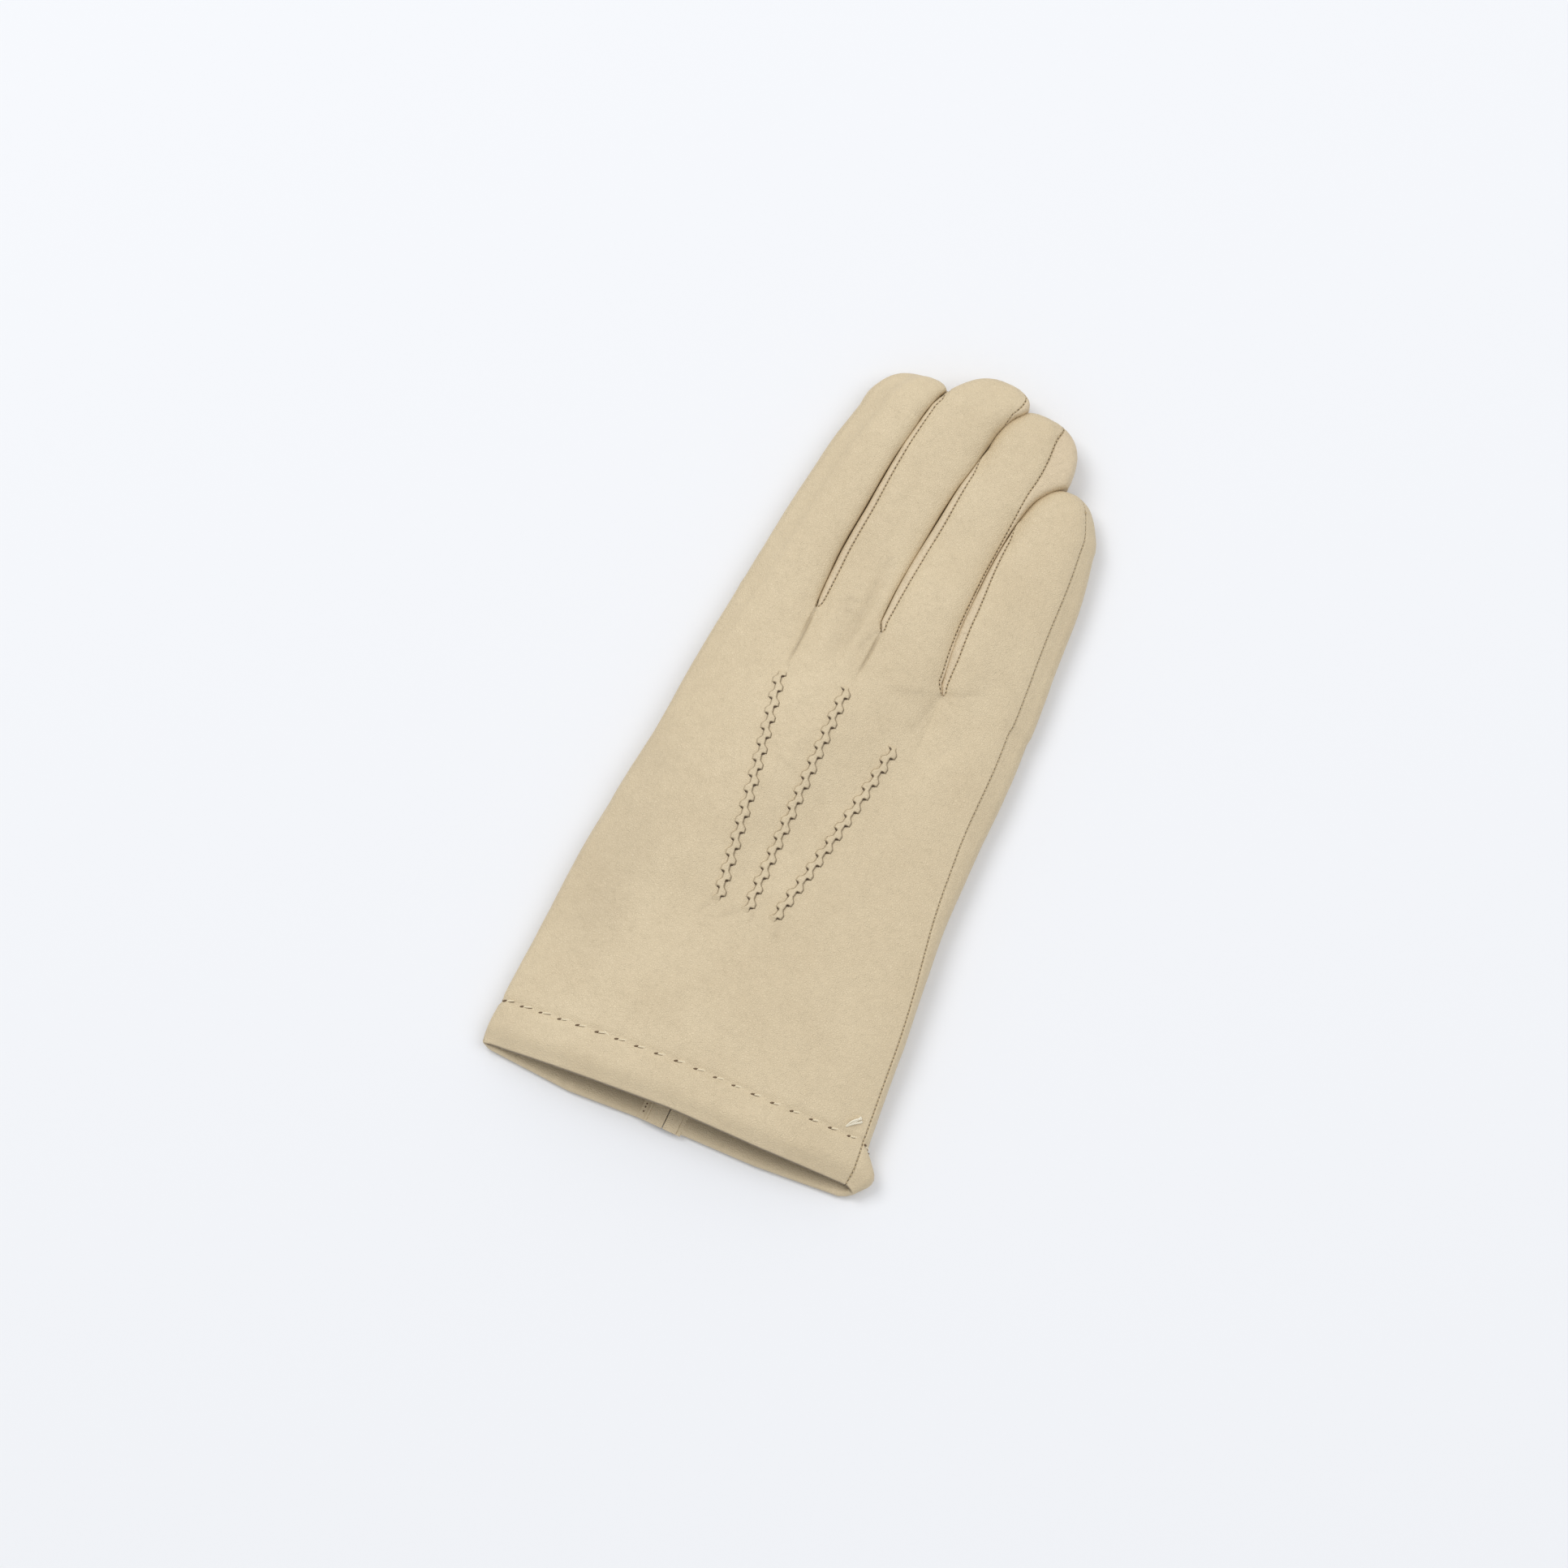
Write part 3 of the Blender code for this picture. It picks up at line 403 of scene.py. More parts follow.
def index_places(spots: Array) -> KDTree:
    """A search tree of places.

    Args:
        spots: the places.

    Returns:
        The tree.
    """
    tree = KDTree(len(spots))
    for index, spot in enumerate(spots):
        tree.insert(spot, index)
    tree.balance()
    return tree


def bell(distance: Array, width: float) -> Array:
    """A soft bump, 1 at no distance and gone at about two widths."""
    return np.exp(-((distance / width) ** 2))


def rounding(distance: Array, radius: float) -> Array:
    """How far a rounded edge falls away, by the distance from that edge."""
    inside = np.clip(radius - distance, 0.0, radius)
    return radius - np.sqrt(radius * radius - inside * inside)


def to_polyline(x: Array, y: Array, line: Sequence[Pair]) -> tuple[Array, Array]:
    """Distance to a line seen from above, and the place along it.

    Args:
        x: places across the glove, in mm.
        y: places along the glove, in mm.
        line: the corners of the line.

    Returns:
        The distance in mm, and the share of the line's length.
    """
    best = np.full(np.shape(x), VAST)
    share = np.zeros(np.shape(x))
    spans = list(zip(line, line[1:]))
    for index, (start, end) in enumerate(spans):
        way = np.subtract(end, start)
        t = ((x - start[0]) * way[0] + (y - start[1]) * way[1]) / way.dot(way)
        t = np.clip(t, 0.0, 1.0)
        far = np.hypot(x - start[0] - t * way[0], y - start[1] - t * way[1])
        share = np.where(far < best, (index + t) / len(spans), share)
        best = np.minimum(best, far)
    return best, share


class Curve:
    """A smooth line through one column of a table whose first column is its position."""

    def __init__(self, rows: Sequence[NamedTuple], column: str) -> None:
        """Work out the slope at each row.

        Args:
            rows: the table, in the order of their positions.
            column: the name of the column.
        """
        self.at = np.array([row.along for row in rows])
        self.values = np.array([getattr(row, column) for row in rows])
        slopes = np.diff(self.values) / np.diff(self.at)
        turning = slopes[:-1] * slopes[1:] > 0.0
        inner = np.where(turning, 0.5 * (slopes[:-1] + slopes[1:]), 0.0)
        self.slopes = np.concatenate([slopes[:1], inner, slopes[-1:]])

    def __call__(self, at: Array | float) -> Array:
        """The value at a position.

        Args:
            at: positions; past the table's ends its end values hold.

        Returns:
            The values.
        """
        at = np.clip(at, self.at[0], self.at[-1])
        span = np.clip(np.searchsorted(self.at, at, side="right") - 1, 0, len(self.at) - 2)
        step = self.at[span + 1] - self.at[span]
        t = (at - self.at[span]) / step
        start = (1.0 + 2.0 * t) * (1.0 - t) ** 2 * self.values[span]
        end = t * t * (3.0 - 2.0 * t) * self.values[span + 1]
        leaving = t * (1.0 - t) ** 2 * step * self.slopes[span]
        arriving = t * t * (t - 1.0) * step * self.slopes[span + 1]
        return start + end + leaving + arriving


class Side(Enum):
    """The two sides of a finger or of the hand; the value points inwards."""

    INDEX = 1.0
    LITTLE = -1.0


class Label(Enum):
    """The leather piece that a face of the skin belongs to."""

    BACK = 0
    PALM = 1
    FORK = 2


class ThumbForm:
    """The thumb folded flat under the palm."""

    width = Curve(THUMB_SECTIONS, "width")
    depth = Curve(THUMB_SECTIONS, "depth")
    search_steps = 60
    lift_range = (0.75, 0.9)
    bulge_range = (0.3, 2.1)

    def spine(self, t: Array | float) -> tuple[Array, Array]:
        """The centre line seen from above, and its heading.

        Args:
            t: places along the thumb, from 0 at its root to 1.

        Returns:
            The places and the headings, two columns each.
        """
        scale = np.array([PALM_WIDTH, PALM_LENGTH])
        root, bend, end = (np.array(place) * scale for place in (THUMB_ROOT, THUMB_BEND, THUMB_END))
        t = np.asarray(t, float)[..., None]
        place = root * (1.0 - t) ** 2 + bend * 2.0 * t * (1.0 - t) + end * t * t
        return place, unit((bend - root) * (1.0 - t) + (end - bend) * t)

    def near(self, x: Array, y: Array) -> tuple[Array, Array]:
        """Distance to the centre line in half widths, and the thumb's depth there.

        Args:
            x: places across the glove, in mm.
            y: places along the glove, in mm.

        Returns:
            The distances and the depths.
        """
        best = np.full(np.shape(x), VAST)
        at = np.zeros(np.shape(x))
        for t in np.linspace(0.0, 1.0, self.search_steps + 1):
            place = self.spine(t)[0]
            far = np.hypot(x - place[0], y - place[1]) / (self.width(t) * THUMB_WIDTH / 2.0)
            at = np.where(far < best, t, at)
            best = np.minimum(best, far)
        return best, self.depth(at) * THUMB_DEPTH

    def lift(self, x: Array, y: Array) -> Array:
        """How high the palm is held up by the thumb."""
        near, depth = self.near(x, y)
        return (depth + THUMB_SEAT) * (1.0 - eased(near, *self.lift_range))

    def bulge(self, x: Array, y: Array) -> Array:
        """How much higher the back lies over the thumb."""
        near, depth = self.near(x, y)
        return BULGE_SHARE * depth * (1.0 - eased(near, *self.bulge_range))


THUMB = ThumbForm()


def bezier(points: Sequence[Array], t: Array) -> Array:
    """Points on a cubic curve with four control points."""
    a, b, c, d = points
    return a * (1 - t) ** 3 + b * 3 * t * (1 - t) ** 2 + c * 3 * t * t * (1 - t) + d * t ** 3


# A rounded side: how far it leaves the upper seam, how far out and down it goes where it is
# pressed flat, how high its middle rises freely and pressed, and its reach over the lower seam
LEAVING = 0.81
PRESSED_OUT = 0.94
PRESSED_DOWN = 0.06
MIDDLE_RISES = (0.28, 0.45)
LOWER_REACH = 0.60


def flank(top: Array, low: Array, edge: Array, outward: float, share: Array,
          pressed: Array | float = 0.0, tilt: Array | float = 47.5) -> Array:
    """A place on a rounded side.

    Args:
        top: the upper seam.
        low: the lower seam.
        edge: the outermost x.
        outward: 1 on the little finger's side and -1 on the other.
        share: from 0 at the upper seam to 1 at the lower one.
        pressed: 1 where it lies flat against the next finger and turns down late.
        tilt: how steeply it leaves the upper seam, in degrees.

    Returns:
        The places.
    """
    share = np.asarray(share, float)
    steep = np.radians(tilt)
    reach_out = mix(LEAVING * np.cos(steep), PRESSED_OUT, pressed)
    reach_down = mix(LEAVING * np.sin(steep), PRESSED_DOWN, pressed)
    middle = places(edge, (top[..., 1] + low[..., 1]) / 2.0, (top[..., 2] + low[..., 2]) / 2.0)
    rise = places(0.0, 0.0, mix(*MIDDLE_RISES, pressed) * (top[..., 2] - low[..., 2]))
    reach = np.abs(edge - top[..., 0])
    turned = places(outward * reach * reach_out, 0.0, -reach * reach_down)
    upper = (top, top + turned, middle + rise, middle)
    reach = LOWER_REACH * np.abs(edge - low[..., 0])
    lower = (middle, middle - rise, low + places(outward * reach, 0.0, 0.0), low)
    above = bezier(upper, np.clip(share * 2.0, 0.0, 1.0)[..., None])
    below = bezier(lower, np.clip(share * 2.0 - 1.0, 0.0, 1.0)[..., None])
    return np.where(share[..., None] < 0.5, above, below)


class HandForm:
    """The outer shape of the hand, from the cuff at row 0 to the crotches at row 1."""

    centre = Curve(HAND_SECTIONS, "centre")
    flare = Curve(HAND_SECTIONS, "flare")
    ridge = Curve(HAND_SECTIONS, "ridge")
    side_height = Curve(HAND_SECTIONS, "side")
    web_top = float(ridge(1.0)) * HAND_DEPTH - WEB_DIP
    finger_start = 0.80
    palm_power = 2.8
    finger_power = 2.6
    outseam_at_cuff = 0.3
    outseam_rows = (0.3, 0.55)
    tilts = (22.0, 47.5)
    ear = 4.4
    ear_at = 4.6
    ear_size = 5.2

    def edges(self, along: Array) -> tuple[Array, Array]:
        """The outermost x on both sides, by the share of the palm's length.

        Args:
            along: shares of the palm's length.

        Returns:
            The left and the right x.
        """
        half = (PALM_WIDTH + self.flare(along) * (CUFF_WIDTH - PALM_WIDTH)) / 2.0
        middle = self.centre(along) * PALM_WIDTH
        return middle - half, middle + half

    def line(self, row: Array, line: int, edge: str) -> Array:
        """Where a dividing line crosses a row.

        Args:
            row: from 0 at the cuff to 1.
            line: the number of the dividing line.
            edge: back_edge or palm_edge, the cuff edge that it starts at.

        Returns:
            The places, at height 0.
        """
        lane = LANES[line]
        along = mix(getattr(lane, edge), lane.crotch, row)
        left, right = self.edges(np.maximum(along, 0.0))
        share = mix(lane.cuff_share, lane.crotch_share, row)
        return places(mix(left, right, share), along * PALM_LENGTH, 0.0)

    def seams(self, row: Array, side: Side) -> tuple[Array, Array, Array]:
        """The upper line, the lower line and the outermost x of the hand's side.

        Args:
            row: from 0 at the cuff to 1.
            side: which side.

        Returns:
            Both lines' places, and the outermost x.
        """
        line = 0 if side is Side.INDEX else len(LANES) - 1
        place = self.line(row, line, "back_edge")
        low = self.line(row, line, "palm_edge")
        outseam = OUTSEAM_INSET * mix(self.outseam_at_cuff, 1.0, eased(row, *self.outseam_rows))
        inset = FOLD_INSET if side is Side.INDEX else outseam
        height = self.side_height(row) * HAND_DEPTH
        top = places(place[..., 0] + side.value * inset, place[..., 1], height)
        lower = places(low[..., 0] + side.value * LOWER_INSET, low[..., 1], 0.0)
        edge = (place[..., 0] + low[..., 0]) / 2.0
        if side is Side.LITTLE:
            from_ear = (place[..., 1] + low[..., 1]) / 2.0 - self.ear_at
            edge = edge + self.ear * bell(from_ear, self.ear_size)
        return top, lower, edge

    def across(self, x: Array, row: Array) -> Array:
        """How far a place is from the middle of the back, 1 at its side seams.

        Args:
            x: places across the glove, in mm.
            row: their rows.

        Returns:
            The shares, negative to the left.
        """
        left = self.seams(row, Side.INDEX)[0][..., 0]
        right = self.seams(row, Side.LITTLE)[0][..., 0]
        return (x - (left + right) / 2.0) / ((right - left) / 2.0)

    def in_lane(self, row: Array, lane: int, share: Array, is_back: bool) -> Array:
        """A place between two dividing lines, or between one and the hand's side.

        Args:
            row: from 0 at the cuff to 1.
            lane: the finger's number.
            share: from -1 to 1 across its lane.
            is_back: whether it is the back.

        Returns:
            The places, of which x and y are used.
        """
        ends = [self.line(row, lane + step, "back_edge" if is_back else "palm_edge") for step in (0, 1)]
        for end, (side, outer) in enumerate(zip(Side, (0, len(FINGERS) - 1))):
            if lane == outer:
                ends[end] = self.seams(row, side)[0 if is_back else 1]
        return mix(*ends, (share[..., None] + 1.0) / 2.0)

    def back(self, row: Array, lane: int, share: Array) -> Array:
        """A place on the back.

        Args:
            row: from 0 at the cuff to 1.
            lane: the finger's number.
            share: from -1 to 1 across its lane.

        Returns:
            The places.
        """
        last = len(FINGERS) - 1
        place = self.in_lane(row, lane, share, True)
        across = self.across(place[..., 0], row)
        side = self.side_height(row) * HAND_DEPTH
        palm = side + (self.ridge(row) * HAND_DEPTH - side) * crown(across, self.palm_power)
        ends = (side if lane == 0 else self.web_top, side if lane == last else self.web_top)
        base = mix(ends[0], ends[1], (share + 1.0) / 2.0)
        finger = base + (FINGER_DEPTH - (ends[0] + ends[1]) / 2.0) * crown(share, self.finger_power)
        fade = eased(row, self.finger_start, 1.0 - self.finger_start)
        x, y = place[..., 0], place[..., 1]
        return places(x, y, mix(palm, finger, fade) + THUMB.bulge(x, y) * crown(across, BULGE_POWER))

    def palm(self, row: Array, lane: int, share: Array) -> Array:
        """A place on the palm side, lifted where the thumb lies under it.

        Args:
            row: from 0 at the cuff to 1.
            lane: the finger's number.
            share: from -1 to 1 across its lane.

        Returns:
            The places.
        """
        place = self.in_lane(row, lane, share, False)
        fade = eased(row, self.finger_start, 1.0 - self.finger_start)
        return places(place[..., 0], place[..., 1], lowered(place, lane, share, fade))

    def side(self, row: Array, side: Side, share: Array) -> Array:
        """A place on the hand's rounded side, from the upper line to the lower one."""
        top, low, edge = self.seams(row, side)
        return flank(top, low, edge, -side.value, share, 0.0, mix(*self.tilts, smooth(row * 2.0 - 1.0)))


def lowered(place: Array, lane: int, share: Array, fade: Array) -> Array:
    """The height of the palm side: on the floor, over the thumb or drawn up to a web.

    Args:
        place: places seen from above.
        lane: the finger's number.
        share: from -1 to 1 across its lane.
        fade: how far the web is drawn up.

    Returns:
        The heights.
    """
    outer = np.zeros(np.broadcast(share, fade).shape, bool)
    outer |= (lane == 0) & (share < 0.0)
    outer |= (lane == len(FINGERS) - 1) & (share > 0.0)
    lift = THUMB.lift(place[..., 0], place[..., 1]) * np.where(outer, crown(share, OUTER_POWER), 1.0)
    web = np.where(outer, 0.0, WEB_RISE * np.abs(share) ** WEB_POWER * fade)
    return np.maximum(lift, web)


HAND = HandForm()


class FingerForm:
    """One finger, from its crotch at station 0 over the end of its sections at 1 to its tip at 2."""

    seam_height = 0.81
    shown_seam_height = 0.93
    tucked_share = 0.36
    tucks_in = 0.06
    crown_power = 3.7
    round_end = 0.33
    slit_opens = 0.035
    depth_bluntness = 0.5
    tip_height = 0.45
    side_reach = 0.36
    settling = 0.05
    showing = (0.6, 1.4)
    meets = 1.30
    meets_late = 3
    shown_over = 0.42
    slips_over = 0.26
    ends_at = {Side.INDEX: 0.68, Side.LITTLE: 0.5}

    def __init__(self, lane: int) -> None:
        """Read the finger's table.

        Args:
            lane: the finger's number.
        """
        self.lane = lane
        self.finger = FINGERS[lane]
        rows = self.finger.sections
        self.cap = rows[-1].along * FINGER_LENGTH + PALM_LENGTH
        self.edge = {Side.INDEX: Curve(rows, "left"), Side.LITTLE: Curve(rows, "right")}
        self.inset = {Side.INDEX: Curve(rows, "left_inset"), Side.LITTLE: Curve(rows, "right_inset")}
        cap = TipSection(0, *(float(self.frame(np.array(1.0), side)[1]) for side in Side))
        outline = (cap, *self.finger.tip)
        self.outline = (Curve(outline, "left"), Curve(outline, "right"))
        self.tip_y = self.finger.tip_along * FINGER_LENGTH + PALM_LENGTH
        self.tip_z = self.tip_height * FINGER_DEPTH

    def tuck(self, station: Array, side: Side) -> Array:
        """How far the back rolls over the side and hides its seam, from 0 to 1.

        Args:
            station: from 0 at the crotch to 2.
            side: which side.

        Returns:
            The shares.
        """
        if side is Side.INDEX or not self.finger.tucked_to:
            return np.zeros(np.shape(station))
        return 1.0 - eased(station, self.finger.tucked_to, self.shown_over)

    def is_outer(self, side: Side) -> bool:
        """Whether the side is the hand's own and not a fork between two fingers."""
        return (self.lane, side) in ((0, Side.INDEX), (len(FINGERS) - 1, Side.LITTLE))

    def frame(self, row: Array, side: Side) -> tuple[Array, Array, Array, Array, Array]:
        """One side of the finger: y, outermost x, upper seam's x and height, lower seam's x.

        Args:
            row: from 0 at the crotch to 1.
            side: which side.

        Returns:
            The five values.
        """
        line = LANES[self.lane if side is Side.INDEX else self.lane + 1]
        y = mix(line.crotch * PALM_LENGTH, self.cap, row)
        along = (y - PALM_LENGTH) / FINGER_LENGTH
        edge = self.edge[side](along) * PALM_WIDTH
        inset = self.inset[side](along)
        rounded = smooth(row / self.round_end)
        shown = mix(self.finger.rolled, self.shown_seam_height, eased(inset, *self.showing))
        if self.is_outer(side):
            start = HAND.side_height(1.0) * HAND_DEPTH
            height = mix(start, self.seam_height * FINGER_DEPTH, rounded)
            return y, edge, edge + side.value * inset, height, edge + side.value * LOWER_INSET
        opened = np.minimum(1.0, row / self.slit_opens)
        grown = np.sqrt(opened)
        edge = edge - side.value * FINGER_OVERLAP / 2.0 * opened
        height = mix(HAND.web_top, shown * FINGER_DEPTH, rounded)
        low = edge + side.value * FORK_LOWER_INSET * grown
        return y, edge, edge + side.value * inset * grown, height, low

    def barrel(self, row: Array, share: Array, is_back: bool) -> Array:
        """A place on the back or the palm side, which starts on the hand's own last row.

        Args:
            row: from 0 at the crotch to 1.
            share: from -1 to 1 across.
            is_back: whether it is the back.

        Returns:
            The places.
        """
        place = self.free_barrel(row, share, is_back)
        start = self.free_barrel(np.zeros(np.shape(row)), share, is_back)
        hand = HAND.back if is_back else HAND.palm
        wanted = hand(np.ones(np.shape(row)), self.lane, share)
        return place + (wanted - start) * (1.0 - smooth(row / self.settling))[..., None]

    def outermost(self, row: Array, side: Side) -> Array:
        """The outermost x of a side, which starts where the hand's side or web ends.

        Args:
            row: from 0 at the crotch to 1.
            side: which side.

        Returns:
            The x.
        """
        line = self.lane if side is Side.INDEX else self.lane + 1
        start = self.frame(np.array(0.0), side)[1]
        outer = HAND.seams(np.array(1.0), side)[2]
        wanted = outer if self.is_outer(side) else HAND.line(np.array(1.0), line, "back_edge")[0]
        return self.frame(row, side)[1] + (wanted - start) * (1.0 - smooth(row / self.settling))

    def free_barrel(self, row: Array, share: Array, is_back: bool) -> Array:
        """A place on the back or the palm side of the finger by its own table.

        Args:
            row: from 0 at the crotch to 1.
            share: from -1 to 1 across.
            is_back: whether it is the back.

        Returns:
            The places.
        """
        left, right = (self.frame(row, side) for side in Side)
        column = 2 if is_back else 4
        t = (share + 1.0) / 2.0
        x = mix(left[column], right[column], t)
        y = mix(left[0], right[0], t)
        if is_back:
            base = mix(left[3], right[3], t)
            rise = (FINGER_DEPTH - (left[3] + right[3]) / 2.0) * crown(share, self.crown_power)
            return places(x, y, base + rise + THUMB.bulge(x, y) * crown(HAND.across(x, 1.0), BULGE_POWER))
        fade = 1.0 - smooth(row / self.round_end)
        return places(x, y, lowered(places(x, y, 0.0), self.lane, share, fade))

    def close(self, place: Array, row: Array, angle: Array) -> Array:
        """Draw places in towards the fingertip by the angle that the tip has turned.

        Args:
            place: places on the barrel.
            row: their rows.
            angle: how far the tip has turned there, in radians.

        Returns:
            The places round the tip.
        """
        left, right = (self.frame(row, side)[1] for side in Side)
        share = (place[..., 0] - left) / (right - left)
        edges = [curve(np.degrees(angle)) for curve in self.outline]
        shift = mix(edges[0] - left, edges[1] - right, share) * (angle > 0.0)
        y = mix(place[..., 1], self.tip_y, np.sin(angle))
        cosine = np.clip(np.cos(angle), 0.0, 1.0)
        z = self.tip_z + (place[..., 2] - self.tip_z) * cosine ** self.depth_bluntness
        return places(place[..., 0] + shift, y, z)

    def stations(self, station: Array) -> tuple[Array, Array]:
        """The row along the barrel and the angle round the tip of a station."""
        return np.minimum(station, 1.0), np.clip(station - 1.0, 0.0, 1.0) * math.pi / 2.0

    def lap(self, station: Array, side: Side, is_back: bool) -> Array:
        """The share of a side that the back or the palm reaches down or up to.

        Args:
            station: from 0 at the crotch to 2.
            side: which side.
            is_back: whether it is the back that reaches.

        Returns:
            The shares.
        """
        if self.is_outer(side):
            return np.zeros(np.shape(station))
        met = np.clip((station - self.meets) / (MET - self.meets), 0.0, 1.0) ** self.meets_late
        end = self.ends_at[side]
        if not is_back:
            return (1.0 - end) * met
        start = self.tucked_share * smooth(station / self.tucks_in) * self.tuck(station, side)
        if side is Side.INDEX:
            start = end * eased(station, self.finger.slips, self.slips_over)
        return mix(start, end, met)

    def side(self, station: Array, side: Side, share: Array) -> Array:
        """A place on the finger's side, from its upper edge at 0 to its lower one at 1.

        Args:
            station: from 0 at the crotch to 2.
            side: which side.
            share: from 0 to 1 down the side.

        Returns:
            The places.
        """
        row, angle = self.stations(station)
        end = np.full(np.shape(row), -side.value)
        edge = self.outermost(row, side)
        top = self.barrel(row, end, True)
        low = self.barrel(row, end, False)
        pressed = 0.0 if self.is_outer(side) else 1.0 - self.tuck(station, side)
        wall = flank(top, low, edge, -side.value, share, pressed)
        return self.close(wall, row, angle)

    def fork(self, station: Array, side: Side, share: Array) -> Array:
        """A place on the fork strip, which narrows where the back and the palm meet."""
        upper, lower = (self.lap(station, side, is_back) for is_back in (True, False))
        return self.side(station, side, mix(upper, 1.0 - lower, share))

    def face(self, station: Array, share: Array, is_back: bool) -> Array:
        """A place on the back or the palm side, round the tip down to where they meet.

        Args:
            station: from 0 at the crotch to 2.
            share: from -1 to 1 across.
            is_back: whether it is the back.

        Returns:
            The places.
        """
        row, angle = self.stations(station)
        reach = np.ones(np.broadcast(station, share).shape)
        for side in Side:
            lap = 1.0 + 2.0 * self.side_reach * self.lap(station, side, is_back)
            reach = np.where(share * side.value < 0.0, lap, reach)
        t = share * reach
        place = self.close(self.barrel(row, np.clip(t, -1.0, 1.0), is_back), row, angle)
        beyond = np.clip((np.abs(t) - 1.0) / self.side_reach, 0.0, 2.0) / 2.0
        beyond = beyond if is_back else 1.0 - beyond
        for side in Side:
            over = (np.abs(t) > 1.0) & (t * side.value < 0.0)
            if over.any():
                place = np.where(over[..., None], self.side(station, side, beyond), place)
        return place


FORMS = tuple(FingerForm(lane) for lane in range(len(FINGERS)))


def spaced(length: float, step: float, fine: Sequence[float] = ()) -> Array:
    """Shares from 0 to 1 along a length in mm, a step apart, with finer ones at both ends.

    Args:
        length: the length.
        step: the step.
        fine: places of the finer ones, from an end.

    Returns:
        The shares.
    """
    ends = np.array([0.0, *fine])
    inner = np.linspace(ends[-1], length - ends[-1], max(2, round((length - 2 * ends[-1]) / step) + 1))
    return np.concatenate([ends[:-1], inner, length - ends[:-1][::-1]]) / length


LANE_WIDTH = 23.0
SIDE_WIDTH = 12.0
FINGER_RUN = 72.0
BACK_COLUMNS = spaced(LANE_WIDTH, 1.5, (0.25, 0.55, 0.95, 1.5, 2.3)) * 2.0 - 1.0
PALM_COLUMNS = spaced(LANE_WIDTH, 2.3, (0.4, 1.0, 2.0)) * 2.0 - 1.0
SIDE_COLUMNS = spaced(SIDE_WIDTH, 1.6, (0.3, 0.8))
FORK_COLUMNS = spaced(SIDE_WIDTH, 0.9, (0.25, 0.6, 1.1))
PALM_ROWS = spaced(PALM_LENGTH, 1.4, (0.2, 0.45, 0.8, 1.3, 2.0, 2.9))
HEM_ROWS = np.arange(11.0, 18.0, 0.7) / PALM_LENGTH
HAND_ROWS = np.unique(np.round(np.concatenate([PALM_ROWS, HEM_ROWS]), 4))
FINGER_ROWS = spaced(FINGER_RUN, 1.35, (0.15, 0.4, 0.8, 1.3, 2.0))
TIP_ROWS = 2.0 - np.array([
    0.90, 0.80, 0.71, 0.62, 0.54, 0.47, 0.41, 0.35, 0.30, 0.25, 0.20, 0.16, 0.12, 0.08, 0.04, 0.0,
])
STATIONS = np.concatenate([FINGER_ROWS, TIP_ROWS])
FORK_STATIONS = STATIONS[STATIONS < MET + TINY]


class SurfaceFilm(NamedTuple):
    """What the skin stores at each vertex: both faces of the leather and what its finish reads, painted
    shade among it.
    """

    outer: Array
    inner: Array
    seam_near: Array
    seam_run: Array
    shade: Array
    inner_shade: Array


def along_line(spots: Array, step: float) -> Array:
    """Places spaced evenly along a line of places.

    Args:
        spots: the line.
        step: how far apart they get, in mm.

    Returns:
        The places.
    """
    spans = np.linalg.norm(np.diff(spots, axis=0), axis=1)
    run = np.concatenate([[0.0], np.cumsum(spans)])
    at = np.linspace(0.0, run[-1], max(2, round(run[-1] / step) + 1))
    return np.stack([np.interp(at, run, spots[:, axis]) for axis in range(3)], axis=1)


BARREL_STEPS, CAP_STEPS, OVER_TIP_STEPS, HAND_STEPS = 220, 90, 40, 400


def sewn_lines() -> dict[str, Array]:
    """The machine-sewn seams of the hand and fingers.

    Returns:
        Evenly spaced places of each, by name.
    """
    barrel = np.concatenate([np.linspace(0.0, 1.0, BARREL_STEPS), np.linspace(1.0, MET, CAP_STEPS)[1:]])
    over_tip = np.linspace(MET, 2.0, OVER_TIP_STEPS)
    lines = {}
    for lane, (left, right) in enumerate(zip(FORMS, FORMS[1:])):
        for name, share in (("upper", 0.0), ("lower", 1.0)):
            down = left.fork(barrel[::-1], Side.LITTLE, share)
            lines[f"{name}_{lane}"] = np.concatenate([down, right.fork(barrel, Side.INDEX, share)])
    for form in FORMS:
        for side in Side:
            if not form.is_outer(side):
                tip = form.side(over_tip, side, form.ends_at[side])
                lines[f"tip_{form.finger.name}_{side.name}"] = tip
    whole = np.concatenate([barrel, over_tip])[::-1]
    hand = np.linspace(1.0, 0.0, HAND_STEPS)
    outer = FORMS[-1].side(whole, Side.LITTLE, 0.0)
    lines["outseam"] = np.concatenate([outer, HAND.side(hand, Side.LITTLE, 0.0)])
    return {name: along_line(line, SEAM_SAMPLE) for name, line in lines.items()}


